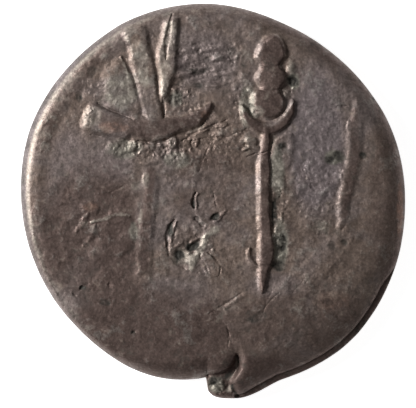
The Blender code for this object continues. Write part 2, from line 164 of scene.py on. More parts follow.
class Grain:
    """Repeatable roughness over a plane, in grains of any size.

    Attributes:
        LATTICE: How many grains the lattice has along each side, a power of 2.
        TURNS: The first layer's turn, and what each next layer adds to it, in radians.
        SHIFTS: How far each next layer is shifted along and aside, in steps.
    """

    LATTICE = 128
    TURNS = (0.6, 1.9)
    SHIFTS = (37.0, 91.0)

    def __init__(self, seed: int) -> None:
        """Throws the heights of the lattice.

        Args:
            seed: The start of the random numbers.
        """
        self.heights = np.random.default_rng(seed).uniform(-1.0, 1.0, (self.LATTICE, self.LATTICE))

    def even(self, u: np.ndarray, v: np.ndarray, size: float) -> np.ndarray:
        """Gives grains of one size.

        Args:
            u: Places to the right, in steps.
            v: Places upwards, in steps.
            size: The distance between neighbouring grains, in steps.

        Returns:
            Heights between -1 and 1.
        """
        column, row = u / size, v / size
        left, low = np.floor(column).astype(int), np.floor(row).astype(int)
        across, up = column - left, row - low
        across = across * across * (3.0 - 2.0 * across)
        up = up * up * (3.0 - 2.0 * up)
        wrap = self.LATTICE - 1
        left, right = left & wrap, (left + 1) & wrap
        low, high = low & wrap, (low + 1) & wrap
        near = self.heights[left, low] * (1 - across) + self.heights[right, low] * across
        far = self.heights[left, high] * (1 - across) + self.heights[right, high] * across
        return near * (1 - up) + far * up

    def layered(
        self, u: np.ndarray, v: np.ndarray, size: float, layers: int, fade: float = 0.55
    ) -> np.ndarray:
        """Gives grains that carry finer grains, each layer turned against the last.

        Args:
            u: Places to the right, in steps.
            v: Places upwards, in steps.
            size: The size of the coarsest grains, in steps.
            layers: How many layers there are, each half the size of the last.
            fade: Each layer's height as a share of the last one's.

        Returns:
            Heights of about -1 to 1.
        """
        total, strength, whole = np.zeros_like(u), 1.0, 0.0
        for layer in range(layers):
            turn = self.TURNS[0] + self.TURNS[1] * layer
            along = u * math.cos(turn) + v * math.sin(turn) + self.SHIFTS[0] * layer
            aside = v * math.cos(turn) - u * math.sin(turn) - self.SHIFTS[1] * layer
            total += strength * self.even(along, aside, size / 2**layer)
            whole += strength
            strength *= fade
        return total / whole

    def pits(self, u: np.ndarray, v: np.ndarray, spacing: float, radius: float, share: float) -> np.ndarray:
        """Gives scattered round pits, at most one in each square of the plane.

        Args:
            u: Places to the right, in steps.
            v: Places upwards, in steps.
            spacing: The side of a square, in steps.
            radius: The largest pit's radius, in steps.
            share: How many of the squares hold a pit.

        Returns:
            Depths from 0 to 1.
        """
        wrap = self.LATTICE - 1
        column, row = np.floor(u / spacing).astype(int), np.floor(v / spacing).astype(int)
        deepest = np.zeros_like(u)
        for right in (-1, 0, 1):
            for up in (-1, 0, 1):
                i, j = (column + right) & wrap, (row + up) & wrap
                aside, above = self.heights[i, j], self.heights[j, i]
                size = self.heights[(i + 51) & wrap, (j + 17) & wrap]
                middle_u = (column + right + 0.5 + 0.35 * aside) * spacing
                middle_v = (row + up + 0.5 + 0.35 * above) * spacing
                there = size > 1.0 - 2.0 * share
                reach = radius * (0.45 + 0.55 * np.abs(aside + above) / 2.0)
                depth = 1.0 - smooth_step(np.hypot(u - middle_u, v - middle_v) / reach, 0.15, 1.0)
                deepest = np.maximum(deepest, np.where(there, depth * (0.6 + 0.4 * above), 0.0))
        return deepest


# Shapes that a face is drawn with


@dataclass(frozen=True)
class Ridge:
    """A raised line, or a groove where a drawing cuts it, with a level crown and sloping sides.

    Attributes:
        points: Places and half-widths along the line, in steps.
        height: Height or depth of the crown, in millimetres.
        crown: The level share of the half-width.
    """

    points: Line
    height: float
    crown: float = 0.25

    def extent(self) -> tuple[float, float, float, float]:
        """Returns the box around the line, as low u, high u, low v and high v."""
        u, v, width = (np.array(column) for column in zip(*self.points))
        return (u - width).min(), (u + width).max(), (v - width).min(), (v + width).max()

    def rise(self, u: np.ndarray, v: np.ndarray) -> np.ndarray:
        """Gives the line's height at each place.

        Args:
            u: Places to the right, in steps.
            v: Places upwards, in steps.

        Returns:
            Heights in millimetres.
        """
        highest = np.zeros_like(u)
        line = through(self.points)
        for (u0, v0, w0), (u1, v1, w1) in zip(line, line[1:]):
            length = math.hypot(u1 - u0, v1 - v0)
            if length == 0.0:
                continue
            along_u, along_v = (u1 - u0) / length, (v1 - v0) / length
            run = (u - u0) * along_u + (v - v0) * along_v
            aside = (v - v0) * along_u - (u - u0) * along_v
            share = np.clip(run / length, 0.0, 1.0)
            width = w0 + share * (w1 - w0)
            beyond = (run - share * length) / width
            away = np.hypot(aside / width, beyond)
            highest = np.maximum(highest, 1.0 - soft_side(away, self.crown, 1.0))
        return self.height * highest


@dataclass(frozen=True)
class Mound:
    """A raised oval, or an oval pit where a drawing cuts it.

    Attributes:
        centre: Its middle, in steps.
        radii: Its half-lengths along and across, in steps.
        height: Height or depth of the crown, in millimetres.
        turn: Its turn from u towards v, in degrees.
        crown: The level share of the radii.
    """

    centre: tuple[float, float]
    radii: tuple[float, float]
    height: float
    turn: float = 0.0
    crown: float = 0.4

    def extent(self) -> tuple[float, float, float, float]:
        """Returns the box around the oval, as low u, high u, low v and high v."""
        (u, v), reach = self.centre, max(self.radii)
        return u - reach, u + reach, v - reach, v + reach

    def rise(self, u: np.ndarray, v: np.ndarray) -> np.ndarray:
        """Gives the oval's height at each place.

        Args:
            u: Places to the right, in steps.
            v: Places upwards, in steps.

        Returns:
            Heights in millimetres.
        """
        turn = math.radians(self.turn)
        across, up = u - self.centre[0], v - self.centre[1]
        first = (across * math.cos(turn) + up * math.sin(turn)) / self.radii[0]
        second = (up * math.cos(turn) - across * math.sin(turn)) / self.radii[1]
        return self.height * (1.0 - soft_side(np.hypot(first, second), self.crown, 1.0))


def ovals(*rows: tuple[float, ...]) -> list[Mound]:
    """Makes ovals from a table.

    Args:
        rows: For each oval its place, its two radii and its height, and its turn and crown if need be.

    Returns:
        The ovals, in the order of the rows.
    """
    return [Mound(row[:2], row[2:4], *row[4:]) for row in rows]


@dataclass(frozen=True)
class Plate:
    """A raised area inside a smooth outline, or a sunk one where a drawing cuts it.

    Attributes:
        corners: Points of its outline in order, in steps.
        height: Height or depth inside, in millimetres.
        slope: The width of its sloping side, half of it outside the outline, in steps.
        lean: How much wider the slope is on the left than on the right, as a share.
    """

    corners: Outline
    height: float
    slope: float
    lean: float = 0.3

    def extent(self) -> tuple[float, float, float, float]:
        """Returns the box around the area, as low u, high u, low v and high v."""
        u, v = (np.array(column) for column in zip(*self.corners))
        reach = self.slope / 2.0 + 3.0
        return u.min() - reach, u.max() + reach, v.min() - reach, v.max() + reach

    def rise(self, u: np.ndarray, v: np.ndarray) -> np.ndarray:
        """Gives the area's height at each place.

        Args:
            u: Places to the right, in steps.
            v: Places upwards, in steps.

        Returns:
            Heights in millimetres.
        """
        nearest, leftward = np.full_like(u, np.inf), np.zeros_like(u)
        inside = np.zeros(u.shape, bool)
        outline = through(self.corners, 3, closed=True)
        for (u0, v0), (u1, v1) in zip(outline, outline[1:] + outline[:1]):
            run_u, run_v = u1 - u0, v1 - v0
            along = np.clip(((u - u0) * run_u + (v - v0) * run_v) / (run_u**2 + run_v**2), 0.0, 1.0)
            off_u, off_v = u0 + along * run_u - u, v0 + along * run_v - v
            away = np.hypot(off_u, off_v)
            closer = away < nearest
            leftward = np.where(closer, off_u / np.maximum(away, 1e-6), leftward)
            nearest = np.where(closer, away, nearest)
            if v0 != v1:
                inside ^= ((v0 > v) != (v1 > v)) & (u < u0 + (v - v0) / run_v * run_u)
        leftward = np.where(inside, -leftward, leftward) * np.clip(nearest, 0.0, 1.0)
        slope = self.slope * (1.0 + self.lean * leftward)
        depth = np.where(inside, nearest, -nearest)
        return self.height * soft_side(depth / slope, -0.5, 0.5)


Shape = Ridge | Mound | Plate


@dataclass
class Drawing:
    """Shapes on one plane, which run together where they meet.

    Attributes:
        shapes: The shapes, in any order.
        blend: A lower power rounds the corners where shapes meet more.
    """

    shapes: list[Shape]
    blend: float = 6.0

    def rise(self, u: np.ndarray, v: np.ndarray) -> np.ndarray:
        """Gives the height of all the shapes together.

        Args:
            u: Places to the right, in steps.
            v: Places upwards, in steps.

        Returns:
            Heights in millimetres.
        """
        total = np.zeros_like(u)
        for shape in self.shapes:
            low_u, high_u, low_v, high_v = shape.extent()
            near = (u > low_u) & (u < high_u) & (v > low_v) & (v < high_v)
            total[near] += shape.rise(u[near], v[near]) ** self.blend
        return total ** (1.0 / self.blend)


# The flan


@dataclass
class Flan:
    """The outline, the shoulders, the split and the lip that both faces share.

    Lengths are in steps, heights in millimetres and directions in degrees from +X towards +Y.

    Attributes:
        reaches: The outline's distance from the middle every 22.5 degrees, as shares of half the length.
        thickness: Height of the upper field.
        edge_middle: Height of the outermost line of the edge.
        shoulders: Width of the rounding from the edge to the upper face every 22.5 degrees.
        lower_shoulder: Width of the rounding from the edge to the lower face.
        shoulder_power: 2 rounds a shoulder as an ellipse, and 1 makes it a plain chamfer.
        rim_turn: Direction in which the rim stands highest.
        rim_height: Height of the rim over its foot, halved.
        rim_inset: Distance of the rim's crown from the edge.
        rim_width: Distance from the rim's crown to its foot.
        dome: How much higher the upper field stands in the middle.
        low_drop: How far the upper face falls away at the thin side.
        low_width: Width of that fall.
        low_turn: Direction of the thin side.
        lip_width: Width of the flange under the thin side.
        lip_top: Height of the flange over the line of the edge.
        lip_span: Directions between which the flange runs, and the angle over which it fades.
        split_turn: Direction of the split in the edge.
        split_back: How far the edge falls back before the split.
        split_fade: Angle over which that fall fades.
        split_jump: Half the angle of the step in the edge.
        split_spread: Angle over which the face's shoulder takes up the step.
        step_start: Share of the way to the edge from which the face's points follow the step.
        lobe_reach: How far the lobe stands out after the split.
        lobe_span: Angle over which the lobe rises, and angles past the split at which it wanes and ends.
        split_depth: Depth of the torn ledge under the upper face.
        ledge_rounding: How far the upper face is worn down along the ledge.
        ledge_shoulder: Width of the ledge's own rounding to the edge.
        ledge_wear: Width of the worn slope over the ledge, and how much wider it is on the left.
        ledge_side: Width of the ledge's torn side, and how much wider it is on the left.
        nicks: How far small knocks move the outline.
        box: The lowest and highest corners of the flan's box in plan, in millimetres.
        step: Length of a step, in millimetres.
        half_width: Half the flan's width.
        fit: Scales and shifts, first along u and then along v, that fit the outline to the box.
        knocks: The roughness behind the small knocks.
    """

    reaches: tuple[float, ...] = (
        0.970, 0.972, 0.963, 0.967, 1.000, 1.011, 1.002, 0.998,
        0.973, 0.954, 0.940, 0.948, 0.944, 0.967, 0.989, 0.978,
    )  # fmt: skip
    thickness: float = 1.48
    edge_middle: float = 0.70
    shoulders: tuple[float, ...] = (21, 20, 19, 16, 13, 12, 13, 12, 11, 7, 6, 14, 28, 30, 28, 24)
    lower_shoulder: float = 16.1
    shoulder_power: float = 1.8
    rim_turn: float = 158.0
    rim_height: float = 0.018
    rim_inset: float = 17.0
    rim_width: float = 11.0
    dome: float = 0.06
    low_drop: float = 0.22
    low_width: float = 64.4
    low_turn: float = -42.0
    lip_width: float = 6.4
    lip_top: float = 0.15
    lip_span: tuple[float, float, float] = (-86.0, -18.0, 10.0)
    split_turn: float = -92.1
    split_back: float = 10.7
    split_fade: float = 12.0
    split_jump: float = 0.5
    split_spread: float = 10.0
    step_start: float = 0.8
    lobe_reach: float = 10.8
    lobe_span: tuple[float, float, float] = (1.6, 9.0, 24.0)
    split_depth: float = 0.45
    ledge_rounding: float = 0.28
    ledge_shoulder: float = 8.0
    ledge_wear: tuple[float, float] = (24.0, 0.2)
    ledge_side: tuple[float, float] = (5.5, -0.2)
    nicks: float = 0.35
    box: tuple[tuple[float, float], tuple[float, float]] = ((-8.95, -9.2), (8.95, 9.2))
    step: float = field(init=False)
    half_width: float = field(init=False)
    fit: tuple[float, float, float, float] = field(init=False)
    knocks: Grain = field(default_factory=lambda: Grain(11))

    def __post_init__(self) -> None:
        """Works out the length of a step, and the scale and shift that fit the outline to the box."""
        (left, bottom), (right, top) = self.box
        self.step = (top - bottom) / STEPS_LONG
        self.half_width = (right - left) / self.step / 2
        u, v = self.raw_outline(np.linspace(0.0, FULL_TURN, 3600, endpoint=False))
        scale_u = 2.0 * self.half_width / np.ptp(u)
        scale_v = STEPS_LONG / np.ptp(v)
        shift_u = left / self.step - u.min() * scale_u
        shift_v = bottom / self.step - v.min() * scale_v
        self.fit = (scale_u, scale_v, shift_u, shift_v)

    def split_reach(self, turn: np.ndarray, spread: float = 0.0) -> np.ndarray:
        """Gives how far the split moves the outline.

        Args:
            turn: Directions in radians.
            spread: Angle over which the step is spread, in degrees.

        Returns:
            Distances in steps, negative where the edge falls back.
        """
        past = np.degrees(turn) - self.split_turn
        past = (past + 180.0) % 360.0 - 180.0
        before = 1.0 - smooth_step(past, -self.split_jump, self.split_jump + spread)
        fallen = np.exp(np.minimum(past, 0.0) / self.split_fade) * before
        full, wane, end = self.lobe_span
        risen = 1.0 - np.exp(-np.maximum(past, 0.0) / (full + spread / 3.0))
        lobe = risen * (1.0 - smooth_step(past, wane, end))
        return self.lobe_reach * lobe - self.split_back * fallen

    def raw_outline(self, turn: np.ndarray) -> tuple[np.ndarray, np.ndarray]:
        """Gives the outline before it is fitted to the box.

        Args:
            turn: Directions in radians.

        Returns:
            Places u and v, in steps.
        """
        knocked = self.nicks * self.knocks.layered(60.0 * np.cos(turn), 60.0 * np.sin(turn), 9.0, 3)
        reach = around(self.reaches, turn) * STEPS_LONG / 2 + self.split_reach(turn) + knocked
        return reach * np.cos(turn), reach * np.sin(turn)

    def spread(self, ball: np.ndarray) -> "Spots":
        """Spreads a ball's points over the flan, straight out from its middle.

        Args:
            ball: Points of a ball of radius 1.

        Returns:
            Their places in plan, in steps.
        """
        turn = np.arctan2(ball[:, 1], ball[:, 0])
        share = np.minimum(np.hypot(ball[:, 0], ball[:, 1]), 1.0)
        edge_u, edge_v = self.raw_outline(turn)
        late = smooth_step(share, self.step_start, 1.0)
        share = share + (late - share) * self.split_step(turn) / np.hypot(edge_u, edge_v)
        scale_u, scale_v, shift_u, shift_v = self.fit
        inset = (1.0 - share) * np.hypot(edge_u * scale_u, edge_v * scale_v)
        return Spots(share * edge_u * scale_u + shift_u, share * edge_v * scale_v + shift_v, inset, turn)

    def split_step(self, turn: np.ndarray) -> np.ndarray:
        """Gives how much sharper the step in the outline is than the step in the face.

        Args:
            turn: Directions in radians.

        Returns:
            Distances in steps.
        """
        return self.split_reach(turn) - self.split_reach(turn, self.split_spread)

    def rounding(self, inset: np.ndarray, width: np.ndarray | float) -> np.ndarray:
        """Gives the share of its height that a shoulder has reached.

        Args:
            inset: Distances in from the edge.
            width: The shoulder's width.

        Returns:
            Shares from 0 at the edge to 1.
        """
        left = 1.0 - np.clip(inset / width, 0.0, 1.0)
        return (1.0 - left**self.shoulder_power) ** (1.0 / self.shoulder_power)

    def ledge(self, slope: float, lean: float) -> Plate:
        """Outlines the torn ledge of the split, which runs out past the edge.

        Args:
            slope: The width of its sloping side, in steps.
            lean: How much wider the slope is on the left than on the right, as a share.

        Returns:
            The ledge, as a share of the fall to it.
        """
        scale_u, scale_v, shift_u, shift_v = self.fit
        mouth_u, mouth_v = self.raw_outline(np.array([math.radians(self.split_turn)]))
        mouth_u, mouth_v = mouth_u[0] * scale_u + shift_u, mouth_v[0] * scale_v + shift_v
        sides = [
            (30, 28), (27, 21), (21.5, 14.5), (10.5, 9.5), (-0.5, 6), (-7.5, 2), (1.5, -26),
            (26.5, -26), (27.5, -12), (26, -4), (24.5, 0.5), (28, 7), (32.5, 15), (32, 24),
        ]  # fmt: skip
        return Plate([(mouth_u + u, mouth_v + v) for u, v in sides], 1.0, slope, lean)

    def upper(self, spots: "Spots", relief: np.ndarray) -> np.ndarray:
        """Gives the height of the upper face.

        Args:
            spots: Places on the face.
            relief: Height of what is struck or cut there, over the field.

        Returns:
            Heights in millimetres.
        """
        u, v, inset, turn = spots.u, spots.v, spots.inset, spots.turn
        low_u, low_v = math.cos(math.radians(self.low_turn)), math.sin(math.radians(self.low_turn))
        radius = self.half_width
        thin_side = smooth_step(u * low_u + v * low_v, radius - self.low_width, radius)
        dome = 1.0 - np.clip((u**2 + v**2) / radius**2, 0.0, 1.0)
        face = self.thickness + self.dome * dome - self.low_drop * thin_side + relief
        degrees = np.degrees(turn)
        start, end, fade = self.lip_span
        sector = smooth_step(degrees, start, start + fade) * (1.0 - smooth_step(degrees, end - fade, end))
        lip = self.lip_top * sector
        lip_width = np.maximum(self.lip_width * sector, 0.01)
        height = self.edge_middle + lip * self.rounding(inset, lip_width)
        shoulder = around(self.shoulders, turn)
        rim = 0.5 + 0.5 * np.cos(turn - math.radians(self.rim_turn))
        face_inset = inset - self.split_step(turn)
        crown = np.clip((face_inset - self.rim_inset) / self.rim_width, -1.0, 1.0)
        face = face + self.rim_height * rim * np.cos(crown * math.pi)
        height = height + (face - self.edge_middle - lip) * self.rounding(face_inset - lip_width, shoulder)
        ledge = self.thickness - self.split_depth - self.edge_middle + relief
        ledge = self.edge_middle + ledge * self.rounding(inset, self.ledge_shoulder)
        height = height - self.ledge_rounding * Drawing([self.ledge(*self.ledge_wear)]).rise(u, v)
        return height + Drawing([self.ledge(*self.ledge_side)]).rise(u, v) * (ledge - height)

    def lower(self, spots: "Spots", relief: np.ndarray) -> np.ndarray:
        """Gives the height of the lower face, which is worn level where it rests.

        Args:
            spots: Places on the face.
            relief: Height of the struck face over the surface that the coin lies on.

        Returns:
            Heights in millimetres.
        """
        worn = np.maximum(relief, 0.0)
        return self.edge_middle + (worn - self.edge_middle) * self.rounding(spots.inset, self.lower_shoulder)


@dataclass
class Spots:
    """Places on a face.

    Attributes:
        u: Places to the right, in steps.
        v: Places upwards, in steps.
        inset: Distances in from the edge, in steps.
        turn: Directions from the middle, in radians.
    """

    u: np.ndarray
    v: np.ndarray
    inset: np.ndarray
    turn: np.ndarray


# What is struck, cut and worn on the upper face


@dataclass
class StandardsSide:
    """The upper face: eagle, standard, border, punch mark, cracks, pits and scratches.

    Attributes:
        wander: How far worn outlines wander, in steps.
        jag: How much further the outlines of cuts, cracks and pits wander, in steps.
        wear: How much the height of the relief changes from place to place, as a share.
        crown: Heights of the relief from which and at which its crown shows, in millimetres.
        swell: Height of the field's broad waves, in millimetres.
        crust: Height of the fine crust on sound metal, and what rough metal adds to it, in millimetres.
        lumps: The same two heights of the coarse crust.
        strata: Height of the layers in the metal, in millimetres.
        tears: Height of the tears between them, in millimetres.
        pecks: Depths of the small and of the larger scattered pits, in millimetres.
        short_scratches: How many short scratches there are.
        grain: The roughness behind all of this.
    """

    wander: float = 1.6
    jag: float = 1.3
    wear: float = 0.28
    crown: tuple[float, float] = (0.04, 0.12)
    swell: float = 0.030
    crust: tuple[float, float] = (0.036, 0.044)
    lumps: tuple[float, float] = (0.024, 0.085)
    strata: float = 0.115
    tears: float = 0.035
    pecks: tuple[float, float] = (0.009, 0.012)
    short_scratches: int = 46
    grain: Grain = field(default_factory=lambda: Grain(3))

    def standard(self) -> list[Shape]:
        """Returns the standard on the right, with its shaft, crescent and three discs."""
        stack = [
            (55, 164), (62, 165), (68, 159), (72, 151), (71.5, 143), (66, 135), (71, 128), (72.5, 120),
            (66, 111), (70.5, 103), (71, 94), (66, 86), (58, 82), (49, 84), (41, 91), (39, 100),
            (41.5, 109), (48, 113), (43, 123), (49, 134), (43, 143), (45, 151), (49, 159),
        ]  # fmt: skip
        crescent = [
            (29, 95), (34, 91), (38, 84), (45, 79), (54, 77), (62, 80), (69, 86), (75, 94),
            (80, 101), (81, 94), (79, 84), (72, 74), (63, 68), (54, 66), (44, 69), (35, 75),
            (29, 83),
        ]  # fmt: skip
        shaft = [
            (49, 71), (56, 71), (56, 51), (57, 31), (57, 11), (57.5, -14), (58, -31),
            (61, -47), (59, -59), (55, -71), (52, -85), (49, -92), (46, -86), (46, -71),
            (46, -61), (45, -49), (45.5, -31), (45.5, -9), (45, 16), (44.5, 36), (47, 51),
        ]  # fmt: skip
        return [
            Plate(stack, 0.165, 6.5),
            Plate(crescent, 0.135, 5.5),
            Plate(shaft, 0.15, 6),
            *ovals((38, 59, 8, 6, 0.09), (43, 89, 8, 7, 0.09)),
            Ridge([(31, 51, 2.6), (37, 54, 3.2), (45, 52, 4), (53, 51, 4)], 0.08),
            Ridge([(36, -47, 1.6), (35, -55, 3.8), (39, -62, 3.8), (45, -65, 2.4)], 0.07),
            Ridge([(60, 27, 2), (60, 43, 3.6), (62, 55, 4.4), (68, 62, 4.6), (78, 66, 3)], 0.04),
            Plate([(62, 55), (69, 64), (79, 66), (80, 53), (77, 37), (70, 31), (61, 33)], 0.04, 7),
            *ovals((77, 132, 6.5, 11, 0.05, -12, 0.1), (73, 108, 6.5, 7.5, 0.055, 0, 0.1)),
            Ridge([(71, 25, 1.6), (69.5, 1, 3.2), (68, -21, 1.6)], 0.022),
            *ovals((63, 21, 10, 26, 0.035)),
        ]

    def standard_accents(self) -> list[Shape]:
        """Returns the crowns of the three discs and of the shaft's knob, which stand on the standard."""
        return ovals(
            (58, 149, 12, 12, 0.016, 0, 0.3), (59, 124, 11.5, 12, 0.016, 0, 0.3),
            (56, 97, 13, 12.5, 0.022, 0, 0.3), (52, -49, 7, 13, 0.02, 0, 0.3),
        )

    def eagle(self) -> list[Shape]:
        """Returns the eagle on the left, with its wings raised."""
        feather = [
            (-91, 173), (-79, 177), (-68, 173), (-64, 154), (-60, 140), (-57, 121), (-54, 101), (-50, 83),
            (-57, 73), (-66, 79), (-71, 95), (-74, 109), (-77.5, 122), (-81, 139), (-84, 154),
        ]  # fmt: skip
        wing = [
            (-47, 179), (-35, 182), (-35, 161), (-36.5, 141), (-38.5, 127), (-42.5, 113), (-49, 100),
            (-52, 104), (-52, 113), (-53.5, 127), (-55.5, 139), (-54, 151), (-50.5, 163),
        ]  # fmt: skip
        body = [
            (-129, 73), (-126, 87), (-118, 95), (-109, 92), (-99, 88), (-87, 84), (-73, 84), (-57, 84),
            (-45, 82), (-31, 85), (-21, 88), (-11, 92), (-2, 97), (-1, 91), (-9, 80), (-15, 74),
            (-30, 71), (-39, 66), (-51, 62), (-66, 60), (-75, 63), (-82, 65), (-89, 63), (-105, 67),
            (-120, 69),
        ]  # fmt: skip
        under_wing = [
            (-105, 129), (-94, 141), (-85, 131), (-77, 111), (-70, 89), (-87, 85), (-105, 93), (-109, 109),
        ]  # fmt: skip
        pole = [
            (-66, 31), (-56, 29), (-55, 11), (-57, -5), (-59.5, -21), (-60.5, -39), (-61, -57),
            (-62, -79), (-74, -81), (-75.5, -61), (-75, -44), (-73.5, -24), (-70, -9), (-67, 9),
        ]  # fmt: skip
        return [
            Plate(feather, 0.11, 6.4, lean=0.1),
            Plate(wing, 0.115, 6.8, lean=0.1),
            Plate(body, 0.135, 7.5),
            Plate(under_wing, 0.085, 16),
            Plate(pole, 0.042, 7),
            Ridge(
                [(-92, 143, 1.6), (-88, 133, 3.8), (-84, 122, 4.4), (-80, 111, 4.4), (-76, 98, 2.6)], 0.066
            ),
            *ovals(
                (-40, 58, 6, 8.5, 0.085), (-80, 55, 6, 9, 0.075), (-67, 21, 5, 9, 0.045),
                (-69, 51, 7, 12, 0.04), (-8, 72, 10, 4, 0.06, 18), (9, 75, 9, 3.4, 0.05, 8),
                (-17, 59, 5, 6, 0.05),
            ),
        ]

    def grooves(self) -> list[Shape]:
        """Returns the grooves between the feathers, along the body, between the discs and over the shaft."""
        return [
            Ridge([(-87, 141, 0.6), (-84, 133, 2.6), (-79, 122, 2.8), (-74, 110, 0.8)], 0.016),
            Ridge([(-41, 186, 1), (-44, 169, 3.6), (-46, 155, 3.4), (-47, 141, 0.8)], 0.055),
            Ridge([(-115, 98, 0.5), (-105, 92, 1.6), (-94, 87, 1.6), (-79, 81, 0.5)], 0.04),
            Ridge([(-50, 103, 0.8), (-49, 93, 2.8), (-49, 83, 0.8)], 0.06),
            Ridge(
                [(-121, 66, 1.2), (-105, 64, 3.2), (-89, 60, 3.4), (-66, 57, 3.6), (-50, 59, 3.4)], 0.035
            ),
            Ridge([(-50, 59, 3.4), (-35, 65, 3.4), (-17, 71, 3.4), (-7, 80, 1.6)], 0.04),
            Ridge([(48, 134, 0.8), (58, 132, 2.2), (69, 136, 1)], 0.022),
            Ridge([(45, 111, 0.8), (56, 110, 2.4), (68, 111, 1)], 0.028),
            Ridge([(45, 22, 1), (51, 21, 1.4), (57, 22, 1)], 0.018),
            Ridge([(45, 5, 0.8), (51, 4, 1.2), (57, 6, 0.8)], 0.012),
            Ridge([(44, -63, 1), (51, -65, 1.6), (58, -63, 1)], 0.02),
        ]

    def border(self) -> list[Shape]:
        """Returns what is left of the border and of the low forms beside it."""
        ridge = [
            (143, 103), (147, 89), (148, 71), (147, 51), (145, 33), (141, 18), (136, 1), (131, -19),
            (125, -31), (123, -21), (125, -4), (127, 11), (130, 29), (134, 49), (134, 69), (138, 86),
        ]  # fmt: skip
        outside = [
            (12, -108), (31, -95), (49, -91), (70, -82), (92, -61), (117, -37), (132, -24),
            (139, -39), (117, -69), (87, -99), (49, -121), (17, -129),
        ]  # fmt: skip
        return [
            Plate(ridge, 0.052, 7, lean=-0.1),
            *ovals((130, 26, 4.5, 9, 0.05, -12), (135, 74, 4, 9, 0.045), (128, -1, 3.6, 7, 0.04)),
            Plate(outside, 0.028, 10),
            Ridge([(135, -2, 2), (133, -13, 2.6), (125, -27, 2.2)], 0.028),
            Ridge([(32, -94, 2.2), (23, -99, 2.8), (12, -107, 2.4)], 0.035),
        ]

    def traces(self) -> list[Shape]:
        """Returns the worn traces at the left, low strokes that say nothing."""
        block = [
            (-110, -23), (-105, -16), (-95, -12), (-83, -15), (-79, -29), (-80, -47), (-95, -53), (-113, -49),
        ]  # fmt: skip
        return [
            Plate(block, 0.035, 8),
            Ridge([(-121, -21, 1.6), (-106, -16.5, 4), (-96, -12.5, 4), (-83, -15, 1.8)], 0.04),
            Plate([(-131, -3), (-123, 0), (-114, -6), (-116, -12), (-129, -11)], 0.035, 5),
            Ridge([(-124, -12, 2), (-129, -20, 4.6), (-136, -30, 2)], 0.038),
            Ridge([(-117, -22, 1), (-121, -35, 3), (-129, -45, 1)], 0.02),
        ]

    def punch(self) -> list[Shape]:
        """Returns the metal that the test punch raised."""
        facet = [
            (-9, -39), (-6, -41), (-10, -49), (-14, -57), (-18, -67), (-23, -66), (-26, -58), (-19, -53),
            (-14, -47),
        ]  # fmt: skip
        lump = [(-3, -25), (5, -25), (4, -32), (-4, -35), (-12, -38), (-9, -31)]
        return [
            *ovals((-30, -35, 11, 9, 0.04, 20)),
            Plate(facet, 0.034, 5.5, lean=0.2),
            Plate(lump, 0.03, 5.5, lean=0.2),
            Ridge([(2, -20, 2), (7, -16, 2.4), (13, -10, 1.6)], 0.045),
            Ridge([(-36, -21, 1.4), (-40, -30, 2), (-42.5, -41, 1.8)], 0.04),
            Ridge([(-14.5, 7, 1.2), (-17, -1, 1.8), (-17.5, -8, 1.2)], 0.035),
            Ridge([(-38, -46, 1.6), (-29, -39, 2.8), (-23, -34, 1.6)], 0.03),
            Plate([(-11, -56), (-5, -51), (9, -65), (8, -72), (-5, -76)], 0.026, 2.2),
        ]

    def punch_cuts(self) -> list[Shape]:
        """Returns the cuts and pits of the test punch."""
        return [
            Ridge([(-38, -19, 1.4), (-43, -26, 3), (-45.5, -35, 3.4), (-45.5, -45, 2.2)], 0.068),
            Ridge([(-45, -47, 1.8), (-42, -55, 3), (-35, -62, 3.2), (-27, -68, 1.6)], 0.04),
            *ovals(
                (-19, -44, 12, 4.6, 0.095, 32), (-33.5, -54, 7.6, 7.4, 0.075),
                (2, -15.5, 7.6, 3.6, 0.085, 38), (-15.5, -18.5, 5.4, 3.2, 0.07, -35),
                (-11, -23, 3.6, 3.4, 0.05),
            ),
            Ridge([(-17, 7, 1.2), (-19.5, 0, 2.4), (-19, -7, 1.4)], 0.075),
            Ridge([(-12, -55, 0.8), (-7, -64, 1.3), (-4, -72, 0.9)], 0.024),
            Ridge([(-4, -51, 0.8), (4, -59, 1.3), (8, -67, 1.3), (6, -74, 0.9)], 0.024),
            Ridge([(7, -73, 0.7), (1, -75, 1.1), (-5, -73, 0.7)], 0.018),
        ]

    def cracks(self) -> list[Shape]:
        """Returns the cracks that corrosion opened."""
        return [
            Ridge(
                [(-32, 59, 0.5), (-21, 67, 1.8), (-12, 70, 1.6), (0, 75, 2), (9, 76, 1.4), (15, 81, 0.4)],
                0.045,
            ),
            Ridge([(-27, 60, 0.4), (-8, 62, 1.2), (9, 63, 1.5), (23, 66, 1.4), (35, 71, 0.4)], 0.03),
            Ridge([(33, 44, 0.4), (41, 47, 1.6), (49, 47, 1.6), (56, 50, 0.5)], 0.045),
            Ridge([(-75, 60, 0.5), (-65, 57, 2.4), (-51, 59, 2.4), (-37, 65, 0.6)], 0.04),
            Ridge([(9, -117, 0.3), (16, -133, 0.9), (21, -147, 1), (23, -157, 1.2)], 0.012),
            Ridge([(123, 94, 1), (133, 93.5, 1)], 0.022),
            Ridge([(90, 31, 1), (96, 23, 1.3), (98, 15, 1)], 0.014),
        ]

